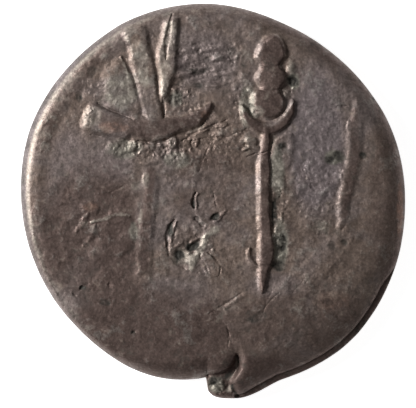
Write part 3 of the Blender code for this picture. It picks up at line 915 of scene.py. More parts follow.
    def single_pits(self) -> list[Shape]:
        """Returns the larger single pits."""
        return ovals(
            (-79.5, -131, 3.2, 2.4, 0.04, 35), (37, -108, 6, 3.4, 0.026, -20),
            (45, -117, 5, 3.6, 0.022, 40), (33, -120, 4, 2.6, 0.018), (-130, -86, 4.8, 2.2, 0.055, 28),
            (-137, -93, 3.6, 1.8, 0.03, -35), (-107, -101, 7.5, 4, 0.035, -15), (-102, -84, 3, 4, 0.03),
            (159.5, 102, 2, 1.8, 0.06), (72, 54, 5, 6, 0.04, -30), (68, 46, 4, 5, 0.034, 20),
            (79, 119, 6, 5, 0.045, 40), (117, 41, 7, 4, 0.014, 25), (124, 45, 4, 5, 0.012),
            (148, 44, 4.8, 2.6, 0.018, -30), (150, 54, 2.6, 4, 0.012), (33, 55, 3, 3, 0.04),
            (16, 148, 4, 4, 0.025), (118, -44, 4.5, 6, 0.025), (130, -41, 5, 4, 0.025),
            (-120, 129, 6, 9, 0.025, -25), (-133, 103, 5, 8, 0.025), (-38, 101, 7, 10, 0.03),
            (62, -13, 5, 18, 0.018), (67, -41, 7, 11, 0.022), (66, -65, 10, 7, 0.018),
            (-20, 58, 4, 6, 0.05), (47, -114, 7, 4, 0.03, 30),
        )

    def scratches(self) -> list[Shape]:
        """Returns the longer scratches, and many short ones that run mostly down the face."""
        scratches = [
            Ridge([(90, -84, 0.8), (105, -65, 0.9)], 0.01),
            Ridge([(-103, 7.5, 0.9), (-89, 15, 0.9)], 0.014),
            Ridge([(-2, 61, 0.7), (-14, 29, 0.7)], 0.015),
            Ridge([(0, 11, 0.7), (3, -5, 0.8)], 0.02),
            Ridge([(-6, 41, 0.7), (-5, 33, 0.7)], 0.018),
            Ridge([(-4, -112, 0.8), (11, -103, 1.2), (30, -90, 0.8)], 0.02),
            Ridge([(49, -109, 0.7), (57, -99, 1.1), (66, -91, 0.7)], 0.014),
            Ridge([(79, -91, 0.6), (94, -74, 0.9)], 0.012),
            Ridge([(13, -121, 0.6), (16, -133, 1.1), (15, -145, 0.7)], 0.018),
            Ridge([(50, -111, 0.6), (54, -99, 1), (59, -89, 0.6)], 0.014),
            Ridge([(83, -137, 0.7), (93, -134, 1.2), (100, -133, 0.7)], 0.012),
        ]
        throws = np.random.default_rng(23)
        for _ in range(self.short_scratches):
            u, v = throws.uniform(-150, 150, 2)
            length, tilt = throws.uniform(5, 16), throws.normal(math.radians(75), 0.45)
            far = (u + length * math.cos(tilt), v + length * math.sin(tilt), 0.8)
            scratches.append(Ridge([(u, v, 0.8), far], throws.uniform(0.003, 0.008)))
        return scratches

    def zones(self) -> dict[str, list[Shape]]:
        """Returns where the face is corroded and how its tone changes from place to place; the pale zone also
        holds painted highlights on lit walls and edges.
        """
        return {
            "rough": ovals(
                (-55, 53, 74, 18, 1, 0, 0.3), (-33, 107, 20, 22, 0.9), (-8, 141, 38, 26, 0.6),
                (-20, -45, 30, 28, 0.6), (13, 61, 30, 22, 0.7), (5, -187, 20, 14, 1),
                (66, -24, 14, 60, 0.6), (105, 6, 40, 60, 0.35), (-133, -39, 40, 50, 0.15),
                (-121, 85, 12, 14, 0.8), (73, 116, 14, 26, 0.6), (30, 101, 16, 40, 0.6),
                (-13, 87, 20, 14, 0.9), (19, 145, 14, 18, 0.6), (-117, 109, 20, 26, 0.4),
            ),
            "strata": ovals(
                (-11, 133, 44, 36, 1), (-63, 43, 50, 12, 0.5),
            ),
            "torn": ovals(
                (-37, 102, 12, 16, 1), (-93, 111, 16, 22, 0.4),
            ),
            "green": ovals(
                (-92, 109, 24, 28, 0.5), (34, 95, 12, 32, 0.7), (64, 29, 10, 34, 0.8),
                (67, -44, 11, 36, 0.8), (-88, 51, 26, 14, 0.7), (-35, 41, 20, 12, 0.6),
                (80, 119, 9, 12, 0.9), (-37, 101, 10, 12, 0.6), (120, 43, 14, 10, 0.9),
                (3, -183, 12, 12, 0.8), (-79, -31, 7, 14, 0.6), (-31, -55, 16, 14, 0.5),
                (107, -27, 16, 12, 0.4),
            ),
            "warm": [
                *ovals(
                    (-125, -34, 84, 100, 0.85), (-63, -125, 120, 64, 1), (87, -129, 110, 66, 0.5),
                    (173, 1, 26, 130, 0.35), (2, 183, 130, 20, 0.3), (-8, 11, 60, 60, 0.45),
                    (12, -171, 120, 24, 1.3),
                ),
                Ridge([(-61, 29, 8), (-66, -14, 9), (-69, -64, 8)], 0.9),
                Ridge([(-171, 51, 9), (-153, 98, 14), (-129, 131, 13), (-95, 159, 10)], 0.5),
                Ridge([(140, 89, 7), (141, 51, 8), (137, 21, 8), (130, -14, 6)], 0.8),
            ],
            "brown": [
                Ridge([(61, 159, 15), (59, 141, 17), (59, 121, 17), (56, 95, 18)], 1, crown=0.5),
                Ridge([(33, 85, 6), (49, 70, 9), (63, 70, 9), (76, 82, 8), (81, 95, 4)], 1),
                Ridge([(53, 65, 7), (53, 1, 8), (54, -49, 9), (50, -87, 6)], 1, crown=0.5),
                Ridge([(-109, 81, 12), (-83, 73, 16), (-53, 72, 16), (-23, 80, 12), (-5, 93, 8)], 0.8),
            ],
            "violet": ovals(
                (-141, 21, 34, 74, 0.45), (103, 61, 40, 104, 0.9), (-43, -95, 44, 30, 0.4),
                (-103, 36, 36, 30, 0.5), (-8, 141, 44, 44, 0.5), (62, -84, 40, 18, 0.4),
            ),
            "red": ovals(
                (-77, 159, 8, 11, 0.7), (-122, -6, 11, 6, 0.35), (117, -99, 30, 14, 0.3),
                (-100, 73, 24, 8, 0.35), (-8, 86, 8, 6, 0.4), (186, -9, 5, 40, 0.5),
            ),
            "pale": [
                *ovals(
                    (-48, 113, 8, 24, 0.55, 8), (15, -107, 30, 12, 0.35, 20), (109, -97, 44, 16, 0.4, 22),
                    (-121, 84, 14, 17, 0.9), (-92, 111, 20, 26, 0.55), (77, 132, 7, 11, 0.9),
                    (73, 108, 7, 8, 0.9), (-67, 21, 6, 11, 0.9), (-79, 54, 6, 9, 0.7), (-40, 58, 6, 9, 0.8),
                    (-37, 43, 14, 8, 0.6), (64, 25, 8, 22, 0.6), (16, -187, 5, 7, 0.9),
                    (-129, -21, 7, 9, 0.6), (-30, 73, 40, 6, 0.35), (37, 55, 12, 12, 0.6),
                    (-76, 15, 8, 8, 0.7), (44, 89, 10, 9, 0.9),
                ),
                # Painted highlight: the punch mark's facet, a wall that faces the light, is painted pale.
                Ridge([(-8, -39, 4), (-13, -49, 6), (-20, -60, 6), (-22, -67, 3)], 1.5),
                Ridge([(3, -28, 6), (-3, -32, 5), (-11, -38, 3)], 1.4),
                Ridge([(-121, -21, 2), (-106, -17, 2.8), (-96, -13.5, 3), (-83, -14.5, 2)], 1.1),
                # Painted highlight: the pole's lit left edge is painted pale.
                Ridge([(-72, -5, 1.6), (-73, -24, 2.4), (-73, -49, 1.6)], 0.8),
                # Painted highlight: the torn ledge's wall that faces the light is painted pale.
                Ridge([(23, -156, 2.6), (24, -165, 3), (19, -173, 3), (14, -180, 2.6)], 0.8),
                Ridge([(61, 63, 4), (60, 41, 5), (62, 11, 4)], 0.6),
                Ridge([(-82, 168, 11), (-72, 143, 12), (-68, 119, 8)], 1.1),
                # Painted highlight: the quill's lit line is painted pale.
                Ridge([(-91, 141, 2.6), (-86, 129, 3.2), (-80, 113, 3.2), (-76, 101, 2.6)], 1.1),
                Ridge([(-43, 173, 10), (-47, 141, 10), (-48, 109, 8)], 0.9),
                Ridge([(-171, 51, 9), (-153, 98, 12), (-129, 131, 11), (-95, 159, 9)], 0.45),
            ],
            "stain": [
                *ovals(
                    (-67, 93, 9, 16, 0.3), (58, 123, 11, 40, 0.22), (41, -115, 14, 10, 0.4, -20),
                    (139, -139, 60, 12, 0.35, 42), (61, -13, 4, 20, 1), (68, -41, 8, 13, 0.9),
                    (66, -65, 11, 8, 0.9), (80, 120, 8, 9, 0.8), (69, 52, 7, 10, 0.9), (117, 41, 9, 7, 0.7),
                    (124, 45, 8, 8, 0.65), (19, 149, 9, 6, 0.55), (31, 139, 5, 13, 0.5),
                    (-15, 129, 16, 5, 0.45, 8), (-17, 115, 12, 4, 0.45), (149, 45, 6, 5, 0.8),
                    (-107, -101, 9, 5, 0.8), (-130, -86, 5, 3, 0.9), (-79.5, -131, 4, 3, 0.9),
                    (-37, 101, 9, 12, 0.6), (-21, -46, 10, 6, 0.9), (-34, -55, 8, 8, 0.8),
                    (3, -16, 6, 5, 1), (-42, -29, 4, 11, 0.9), (1, -179, 6, 6, 0.9), (47, -113, 10, 5, 0.5),
                    (118, -44, 6, 7, 0.5), (130, -41, 6, 5, 0.5), (-120, 129, 7, 10, 0.5),
                    (-133, 103, 5, 9, 0.6), (159.5, 102, 3, 3, 1),
                ),
                Ridge([(17, -172, 3), (11, -176, 4), (3, -179, 5)], 0.6),
                Ridge([(19, -183, 1.6), (21, -190, 2.2), (26, -195, 1.6)], 0.7),
            ],
        }

    def struck(self, u: np.ndarray, v: np.ndarray) -> np.ndarray:
        """Gives the height of all that is struck.

        Args:
            u: Places to the right, in steps.
            v: Places upwards, in steps.

        Returns:
            Heights over the field, in millimetres.
        """
        rise = Drawing(self.standard() + self.eagle() + self.border() + self.traces()).rise(u, v)
        return rise + Drawing(self.standard_accents()).rise(u, v) - Drawing(self.grooves(), 4.0).rise(u, v)

    def surface(self, u: np.ndarray, v: np.ndarray) -> tuple[np.ndarray, "Tones"]:
        """Gives the height and the tone of the face.

        Args:
            u: Places to the right, in steps.
            v: Places upwards, in steps.

        Returns:
            Heights over the field in millimetres, and the tones.
        """
        zones = {name: Drawing(shapes, 4.0).rise(u, v) for name, shapes in self.zones().items()}
        rough, brown = zones["rough"], zones["brown"]
        # What is struck: worn outlines that wander, and relief that is lower in some places
        wander_u = u + self.wander * self.grain.layered(u, v, 20.0, 4, 0.65)
        wander_v = v + self.wander * self.grain.layered(v + 300.0, u, 20.0, 4, 0.65)
        wear = 1.0 + self.wear * self.grain.layered(u - 44.0, v + 18.0, 26.0, 3)
        struck = self.struck(wander_u, wander_v) * wear
        crown = smooth_step(struck, *self.crown)
        # What was cut and torn later: the same outlines, more jagged
        jag_u = wander_u + self.jag * self.grain.layered(u + 40.0, v, 6.0, 2)
        jag_v = wander_v + self.jag * self.grain.layered(v, u + 700.0, 6.0, 2)
        punched = Drawing(self.punch()).rise(jag_u, jag_v)
        cuts = Drawing(self.punch_cuts(), 5.0).rise(jag_u, jag_v)
        cracks = Drawing(self.cracks()).rise(jag_u, jag_v)
        pits = Drawing(self.single_pits()).rise(jag_u, jag_v)
        scratches = Drawing(self.scratches()).rise(u, v)
        # Corrosion, from broad waves to fine crust, layers of metal and scattered pits
        swell = self.swell * self.grain.layered(u, v, 40.0, 3, 0.6)
        crust = self.grain.layered(u + 91.0, v - 57.0, 9.0, 4, 0.8)
        lumps = self.grain.layered(u - 190.0, v + 77.0, 15.0, 4, 0.7)
        layers = self.grain.layered(0.20 * u + 0.03 * v, v - 0.15 * u, 6.5, 3)
        tears = self.grain.layered(u, 0.2 * v + 500.0, 3.6, 2)
        coarse_pits = self.grain.pits(u + 77.0, v + 31.0, 11.0, 3.0, 0.12)
        peck = self.grain.pits(u, v, 5.0, 1.9, 0.26) * self.pecks[0] + coarse_pits * self.pecks[1]
        # The metal is plainer low on the left, at both sides and on brown crowns
        low_left = smooth_step(-v, 60.0, 120.0) * (1.0 - 0.7 * smooth_step(u, 20.0, 80.0))
        sides = np.maximum(smooth_step(u, 120.0, 170.0), 0.5 * smooth_step(-u, 80.0, 130.0))
        plain = np.maximum(low_left, sides) * (1.0 - rough)
        calm = (1.0 - 0.55 * plain) * (1.0 - 0.5 * crown * brown)
        height = struck + punched - cuts - cracks - pits - scratches + swell
        crust_height, lump_height = (sound + more * rough for sound, more in (self.crust, self.lumps))
        height = height + calm * (crust_height * crust + lump_height * lumps)
        height = height - (0.5 + rough) * calm * peck
        height = height + self.strata * zones["strata"] * layers + self.tears * zones["torn"] * tears
        # Tones: high crust is rubbed and pale, hollows are stained, and crowns are brown in their zone; the
        # pale zone also holds painted highlights on lit walls and edges
        low = smooth_step(-crust - 0.8 * lumps, 0.05, 0.60) * (1.0 - 0.6 * crown)
        high = smooth_step(crust + 0.8 * lumps, 0.10, 0.60)
        hollow = smooth_step(cuts + 0.6 * cracks + pits + 2.0 * peck, 0.02, 0.12)
        tones = Tones(
            rub=(0.55 * high + 0.30 * crown) * (1.0 - 0.8 * brown * crown),
            warm=np.maximum(brown * crown, zones["warm"] * (1.0 - 0.5 * zones["violet"])),
            violet=zones["violet"] * (1.0 - 0.7 * brown * crown),
            green=zones["green"] * (1.0 - 0.8 * brown * crown),
            red=zones["red"],
            pale=0.75 * zones["pale"] * (0.6 + 0.6 * high),
            stain=np.clip(0.9 * zones["stain"] * (1.0 - 0.6 * high) + 0.8 * hollow + 0.35 * low, 0.0, 1.0),
        )
        return height, tones


@dataclass
class Tones:
    """How strongly each tone shows at a place, from 0 to 1.

    Attributes:
        rub: Metal rubbed bare of its darkest tone, and on the rim's side towards the light also a painted
            highlight.
        warm: Warm brown, and on the rim's far side from the light also painted shade.
        violet: Purple grey, and painted shade on the outermost band of the rim's lit side.
        green: Green grey.
        red: Copper red.
        pale: Pale film, and painted highlights on the rim's lit side, the punch facet, the quill, the pole's
            left edge and the ledge's wall.
        stain: Dark green-black deposit, and painted shade on the outermost band of the rim's lit side.
    """

    rub: np.ndarray
    warm: np.ndarray
    violet: np.ndarray
    green: np.ndarray
    red: np.ndarray
    pale: np.ndarray
    stain: np.ndarray


@dataclass
class ShipSide:
    """The lower face, a worn war galley inside a rim of beads, drawn in hundredths of the galley's length.

    Attributes:
        unit: One hundredth of the galley's length, in steps.
        place: The galley's middle, in steps, seen from above through the coin.
        field_height: How high the field stands over the surface that the coin lies on, in millimetres.
        rim: Where the level rim ends and where the field begins, in steps from the edge.
        oars: How many oars there are.
        bead_count: How many beads the border had.
        bead_middle: The middle of the ring of beads.
        bead_reach: Half the ring's width and height.
        wander: How far worn outlines wander.
        crust: Height of the crust, in millimetres.
        peck: Depth of the scattered pits, in millimetres.
        grain: The roughness behind all of this.
    """

    unit: float = 2.705
    place: tuple[float, float] = (6.4, 10.7)
    field_height: float = 0.15
    rim: tuple[float, float] = (31.1, 46.2)
    oars: int = 11
    bead_count: int = 96
    bead_middle: tuple[float, float] = (-2.0, -3.0)
    bead_reach: tuple[float, float] = (57.5, 57.0)
    wander: float = 0.5
    crust: float = 0.012
    peck: float = 0.014
    grain: Grain = field(default_factory=lambda: Grain(8))

    def galley(self) -> list[Shape]:
        """Returns the galley with its oars, as heights under the field."""
        shapes = [
            Ridge(
                [(-43, 3, 2.4), (-34, -4, 4.2), (-14, -8, 5.2), (16, -8, 5.2), (37, -4, 4.2), (49, 1, 2.2)],
                0.22,
                crown=0.6,
            ),
            Ridge([(-38, 5, 1.4), (-12, 1.6, 1.6), (18, 1.6, 1.6), (40, 5, 1.4)], 0.165, crown=0.4),
            Ridge([(-42, 3, 2.4), (-48.5, 13, 2.0), (-46, 24, 1.8), (-37, 28, 1.5)], 0.176, crown=0.4),
            Ridge([(39, -2, 2.4), (44, 9, 1.9), (41, 17, 1.5)], 0.176, crown=0.4),
            Ridge([(30, 3, 1.4), (31, 28, 1.2)], 0.13),
            Ridge([(26, 21, 1.3), (36, 21.6, 1.3)], 0.12),
            Ridge([(-30, 4, 1.4), (-31, 15, 1.2)], 0.11),
            Ridge([(-36, 20, 1.0), (-31, 24, 1.0), (-32, 31, 0.8)], 0.10),
            Ridge([(-46, -28, 0.9), (-20, -29.5, 1.0), (10, -29.5, 1.0), (44, -27, 0.9)], 0.05),
        ]
        for number in range(self.oars):
            head = -31.0 + 64.0 * number / (self.oars - 1)
            shapes.append(Ridge([(head, -11, 1.1), (head - 5.0, -24, 1.3)], 0.154))
            shapes.append(Mound((head - 5.4, -25.0), (2.0, 1.3), 0.13, turn=65))
            shapes.append(Mound((head, 4.6 - 0.9 * (1 - abs(head) / 31.0)), (1.0, 1.0), 0.12))
        return shapes

    def worn_legend(self) -> list[Shape]:
        """Returns two rows of worn strokes, which say nothing."""
        strokes = []
        throws = np.random.default_rng(41)
        for row, span in ((31.0, (-20, 24)), (-42.0, (-28, 30))):
            for across in np.arange(span[0], span[1], 6.2):
                lean = throws.uniform(-1.6, 1.6)
                bow = row - 0.006 * across * across * (1 if row > 0 else -1)
                ends = [(across - lean, bow - 3.0, 0.7), (across + lean, bow + 3.0, 0.7)]
                strokes.append(Ridge(ends, throws.uniform(0.02, 0.06)))
        return strokes

    def beads(self) -> list[Shape]:
        """Returns the border of beads, some of them worn away."""
        beads = []
        throws = np.random.default_rng(42)
        (middle_u, middle_v), (reach_u, reach_v) = self.bead_middle, self.bead_reach
        for number in range(self.bead_count):
            turn = FULL_TURN * number / self.bead_count
            if throws.uniform() > 0.2:
                place = (middle_u + reach_u * math.cos(turn), middle_v + reach_v * math.sin(turn))
                beads.append(Mound(place, (1.3, 1.3), throws.uniform(0.03, 0.12), crown=0.1))
        return beads

    def surface(self, spots: Spots) -> tuple[np.ndarray, Tones]:
        """Gives the height and the tone of the face.

        Args:
            spots: Places on the face.

        Returns:
            Heights over the surface that the coin lies on, and the tones.
        """
        across = (-spots.u - self.place[0]) / self.unit
        up = (spots.v - self.place[1]) / self.unit
        across = across + self.wander * self.grain.layered(spots.u, spots.v, 16.0, 3)
        up = up + self.wander * self.grain.layered(spots.v, spots.u + 200.0, 16.0, 3)
        inside_rim = smooth_step(spots.inset, *self.rim)
        struck = Drawing(self.galley()).rise(across, up)
        faint = Drawing(self.worn_legend() + self.beads()).rise(across, up)
        planks = Drawing(
            [
                Ridge([(-36, -5.5, 0.5), (-14, -9.8, 0.6), (16, -9.8, 0.6), (40, -4.5, 0.4)], 0.05),
                Ridge([(-36, -2.6, 0.5), (-14, -6.4, 0.6), (16, -6.4, 0.6), (41, -1.8, 0.4)], 0.05),
            ]
        ).rise(across, up)
        crust = self.grain.layered(spots.u + 31.0, spots.v - 17.0, 9.0, 4, 0.7)
        peck = self.grain.pits(spots.u, spots.v, 9.0, 3.4, 0.30)
        relief = self.field_height * inside_rim - struck - faint * inside_rim + planks
        relief = relief + self.crust * inside_rim * crust + self.peck * peck
        crown = smooth_step(struck + faint, 0.05, 0.16)
        nothing = np.zeros_like(crown)
        patches = smooth_step(self.grain.layered(spots.u - 60.0, spots.v, 60.0, 3), -0.2, 0.5)
        tones = Tones(
            rub=crown * (0.5 + 0.5 * crust),
            warm=0.4 * crown + 0.5 * (1.0 - inside_rim),
            violet=0.8 * patches * inside_rim,
            green=0.5 * smooth_step(self.grain.layered(spots.u + 40.0, spots.v + 9.0, 30.0, 3), 0.1, 0.6),
            red=nothing,
            pale=nothing,
            stain=0.7 * smooth_step(peck + (1.0 - crown) * 0.3 * (crust + 0.5), 0.3, 1.0),
        )
        return relief, tones


# The coin


class Tone(Enum):
    """The mesh attributes that carry the tones to the finish."""

    RUB = "rub"
    WARM = "warm"
    VIOLET = "violet"
    GREEN = "green"
    RED = "red"
    PALE = "pale"
    STAIN = "stain"


@dataclass
class Coin:
    """The struck coin.

    Attributes:
        flan: Its outline and shoulders.
        standards_side: Its upper face.
        ship_side: Its lower face.
        even_divisions: How often the first ball is divided all over.
        refinements: How often the ball is divided where the relief needs it.
        shortest_edge: The shortest edge that is still divided, in millimetres.
        level: How far a point of the ball's equator may stand off it.
        most_triangles: The most triangles that the mesh may have.
        rim_rub_and_light: Distances from the edge between which the rim band fades, in steps; rubbed metal
            with painted highlight on the side towards the light, brown with painted shade on the far side.
        rim_shaded_strip: Distances from the edge between which the darker outermost band of painted shade
            fades, in steps.
        rim_rub_and_highlight: How strongly the rim's side towards the light is rubbed, which is also a
            painted highlight.
        rim_film_and_highlight: How pale the crown of that side is, film and painted highlight.
        strip_violet_shade: How violet that band's painted shade is.
        strip_painted_shade: How far that band's painted shade takes the deposit colour.
        strip_shade_cover: How far that band's painted shade hides the rubbed metal.
    """

    flan: Flan
    standards_side: StandardsSide = field(default_factory=StandardsSide)
    ship_side: ShipSide = field(default_factory=ShipSide)
    even_divisions: int = 6
    refinements: int = 2
    shortest_edge: float = 0.045
    level: float = 1e-5
    most_triangles: int = 192_000
    rim_rub_and_light: tuple[float, float] = (3.5, 14.0)
    rim_shaded_strip: tuple[float, float] = (3.5, 8.4)
    rim_rub_and_highlight: float = 0.9
    rim_film_and_highlight: float = 0.8
    strip_violet_shade: float = 0.9
    strip_painted_shade: float = 0.5
    strip_shade_cover: float = 0.8

    def strike(self, ball: np.ndarray) -> tuple[np.ndarray, Tones]:
        """Strikes a ball's points to the coin.

        Args:
            ball: Points of a ball of radius 1.

        Returns:
            Their places in millimetres, and their tones.
        """
        spots = self.flan.spread(ball)
        above = ball[:, 2] >= 0.0
        places = np.empty_like(ball)
        step = self.flan.step
        places[:, 0], places[:, 1] = spots.u * step, spots.v * step
        tones = {tone: np.zeros(len(ball)) for tone in Tone}
        for part, upper in ((above, True), (~above, False)):
            here = Spots(spots.u[part], spots.v[part], spots.inset[part], spots.turn[part])
            if upper:
                relief, found = self.standards_side.surface(here.u, here.v)
                places[part, 2] = self.flan.upper(here, relief)
            else:
                relief, found = self.ship_side.surface(here)
                places[part, 2] = self.flan.lower(here, relief)
            face_inset = here.inset - self.flan.split_step(here.turn) if upper else here.inset
            # The rim band: on the side towards the light it is rubbed metal with a painted highlight and a
            # pale painted highlight on its crown; on the far side it is brown with painted shade.
            rim = 1.0 - smooth_step(face_inset, *self.rim_rub_and_light)
            worn_and_lit_side = (0.5 + 0.5 * np.cos(here.turn - math.radians(self.flan.rim_turn))) ** 3
            # Painted shade: the outermost band on the side towards the light is darkened with violet and the
            # deposit colour.
            strip = worn_and_lit_side * (1.0 - smooth_step(here.inset, *self.rim_shaded_strip))
            least = {
                Tone.RUB: self.rim_rub_and_highlight * rim * worn_and_lit_side,
                Tone.WARM: rim * (1.0 - worn_and_lit_side),
                Tone.VIOLET: self.strip_violet_shade * strip,
                Tone.PALE: self.rim_film_and_highlight * rim * (worn_and_lit_side - strip),
                Tone.STAIN: self.strip_painted_shade * strip,
            }
            for tone in Tone:
                shown = np.clip(getattr(found, tone.value), 0.0, 1.0)
                tones[tone][part] = np.maximum(shown, least.get(tone, 0.0))
            # The painted shade of that band also hides the rubbed metal.
            tones[Tone.RUB][part] *= 1.0 - self.strip_shade_cover * strip
        return places, Tones(**{tone.value: tones[tone] for tone in Tone})

    def pellet(self) -> bmesh.types.BMesh:
        """Makes the ball that the coin is struck from, with its equator as a closed line of edges."""
        pellet = bmesh.new()
        bmesh.ops.create_circle(pellet, cap_ends=True, cap_tris=True, segments=6, radius=1.0)
        for vertex in pellet.verts:
            if vertex.co.length < 0.5:
                vertex.co.z = 1.0
        upper_half = pellet.verts[:] + pellet.edges[:] + pellet.faces[:]
        bmesh.ops.mirror(pellet, geom=upper_half, axis="Z", merge_dist=1e-5)
        for _ in range(self.even_divisions):
            bmesh.ops.subdivide_edges(pellet, edges=pellet.edges[:], cuts=1, use_grid_fill=True)
            self.round_off(pellet)
        upper_edges = [edge for edge in pellet.edges if min(end.co.z for end in edge.verts) > -self.level]
        self.divide(pellet, upper_edges)
        bmesh.ops.recalc_face_normals(pellet, faces=pellet.faces[:])
        return pellet

    def divide(self, pellet: bmesh.types.BMesh, edges: list[bmesh.types.BMEdge]) -> None:
        """Divides edges of the pellet and the faces between them.

        Args:
            pellet: The pellet.
            edges: The edges to divide.
        """
        bmesh.ops.subdivide_edges(pellet, edges=edges, cuts=1, use_grid_fill=True)
        bmesh.ops.triangulate(pellet, faces=[face for face in pellet.faces if len(face.verts) > 3])
        self.round_off(pellet)

    def round_off(self, pellet: bmesh.types.BMesh) -> None:
        """Moves every point of the pellet onto the ball."""
        for vertex in pellet.verts:
            vertex.co.normalize()

    def refine(self, pellet: bmesh.types.BMesh) -> None:
        """Divides the pellet where the straight edges miss the struck surface most.

        Args:
            pellet: The evenly divided ball.
        """
        for rounds_left in range(self.refinements, 0, -1):
            pellet.verts.index_update()
            edges = pellet.edges[:]
            ball = np.array([vertex.co for vertex in pellet.verts], float)
            ends = np.array([(edge.verts[0].index, edge.verts[1].index) for edge in edges])
            struck = self.strike(ball)[0]
            start, end = struck[ends[:, 0]], struck[ends[:, 1]]
            middle = ball[ends[:, 0]] + ball[ends[:, 1]]
            middle /= np.linalg.norm(middle, axis=1)[:, None]
            long_enough = np.linalg.norm(end - start, axis=1) > self.shortest_edge
            miss = np.zeros(len(edges))
            between = (start + end)[long_enough] / 2.0
            miss[long_enough] = np.linalg.norm(self.strike(middle[long_enough])[0] - between, axis=1)
            room = (self.most_triangles - len(pellet.faces)) // 2 // rounds_left
            self.divide(pellet, [edges[number] for number in np.argsort(-miss)[:room]])

    def build(self) -> bpy.types.Object:
        """Makes the coin's mesh.

        Returns:
            The coin, with its tones as attributes of its mesh.
        """
        pellet = self.pellet()
        self.refine(pellet)
        mesh = bpy.data.meshes.new("coin")
        pellet.to_mesh(mesh)
        pellet.free()
        ball = np.empty(3 * len(mesh.vertices), np.float32)
        mesh.vertices.foreach_get("co", ball)
        places, tones = self.strike(ball.reshape(-1, 3).astype(float))
        mesh.vertices.foreach_set("co", (places * MM).astype(np.float32).ravel())
        for tone in Tone:
            layer = mesh.attributes.new(tone.value, "FLOAT", "POINT")
            layer.data.foreach_set("value", getattr(tones, tone.value).astype(np.float32))
        mesh.update()
        mesh.shade_smooth()
        coin = bpy.data.objects.new("coin", mesh)
        bpy.context.scene.collection.objects.link(coin)
        return coin

    def dress(self, coin: bpy.types.Object, finish: "TonedSilver") -> None:
        """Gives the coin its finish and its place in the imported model.

        Args:
            coin: The coin's object.
            finish: Its finish.
        """
        coin.data.materials.append(finish.material())
        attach(coin, ROOT_BODY)
        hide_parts(COIN_NODE)


# The finish


class Nodes:
    """A material's nodes, put in with few words."""

    def __init__(self, name: str) -> None:
        """Starts a material with its shader.

        Args:
            name: The material's name.
        """
        self.material = bpy.data.materials.new(name)
        self.material.use_nodes = True
        self.tree = self.material.node_tree
        self.shader = self.tree.nodes["Principled BSDF"]

    def add(self, kind: str, **settings: object) -> bpy.types.Node:
        """Adds a node.

        Args:
            kind: The node's type.
            settings: Its settings by name.

        Returns:
            The node.
        """
        node = self.tree.nodes.new(kind)
        for name, value in settings.items():
            setattr(node, name, value)
        return node

    def join(self, source: bpy.types.NodeSocket, target: bpy.types.NodeSocket) -> None:
        """Links one socket to another."""
        self.tree.links.new(source, target)

    def feed(self, value: object, socket: bpy.types.NodeSocket) -> None:
        """Links a socket to another, or sets its value.

        Args:
            value: A socket, or a number or colour.
            socket: The socket that takes it.
        """
        if isinstance(value, bpy.types.NodeSocket):
            self.join(value, socket)
        elif isinstance(value, tuple) and len(value) == 3:
            socket.default_value = (*value, 1.0)
        else:
            socket.default_value = value

    def attribute(self, name: str) -> bpy.types.NodeSocket:
        """Returns the value of a mesh attribute."""
        return self.add("ShaderNodeAttribute", attribute_name=name).outputs["Fac"]

    def noise(
        self, scale: float, detail: float, roughness: float, warp: float = 0.0
    ) -> bpy.types.NodeSocket:
        """Returns noise over the object's own coordinates.

        Args:
            scale: Grains to the metre.
            detail: How many finer layers there are.
            roughness: How strong the finer layers are.
            warp: How far the noise bends itself.

        Returns:
            A value about 0.5.
        """
        node = self.add("ShaderNodeTexNoise")
        self.join(self.coordinates(), node.inputs["Vector"])
        node.inputs["Scale"].default_value = scale
        node.inputs["Detail"].default_value = detail
        node.inputs["Roughness"].default_value = roughness
        node.inputs["Distortion"].default_value = warp
        return node.outputs["Fac"]

    def coordinates(self) -> bpy.types.NodeSocket:
        """Returns the object's own coordinates."""
        return self.add("ShaderNodeTexCoord").outputs["Object"]

    def math(
        self, operation: str, first: object, second: object, clamp: bool = False
    ) -> bpy.types.NodeSocket:
        """Combines two values.

        Args:
            operation: The operation's name.
            first: A socket or number.
            second: A socket or number.
            clamp: Whether the result is kept between 0 and 1.

        Returns:
            The result.
        """
        node = self.add("ShaderNodeMath", operation=operation, use_clamp=clamp)
        self.feed(first, node.inputs[0])
        self.feed(second, node.inputs[1])
        return node.outputs[0]

    def spread(
        self, value: object, low: float, high: float, to_low: float = 0.0, to_high: float = 1.0
    ) -> bpy.types.NodeSocket:
        """Maps a range of values to another one, and holds the ends.

        Args:
            value: The socket to map.
            low: The value that gives to_low.
            high: The value that gives to_high.
            to_low: The first result.
            to_high: The last result.

        Returns:
            The result.
        """
        node = self.add("ShaderNodeMapRange", clamp=True)
        ends = {"Value": value, "From Min": low, "From Max": high, "To Min": to_low, "To Max": to_high}
        for name, end in ends.items():
            self.feed(end, node.inputs[name])
        return node.outputs["Result"]

    def mix(self, share: object, first: object, second: object, blend: str = "MIX") -> bpy.types.NodeSocket:
        """Mixes two colours.

        Args:
            share: How much of the second shows.
            first: A colour or a socket.
            second: A colour or a socket.
            blend: The way of mixing.

        Returns:
            The mixed colour.
        """
        node = self.add("ShaderNodeMix", data_type="RGBA", blend_type=blend)
        self.feed(share, node.inputs[0])
        self.feed(first, node.inputs[6])
        self.feed(second, node.inputs[7])
        return node.outputs[2]


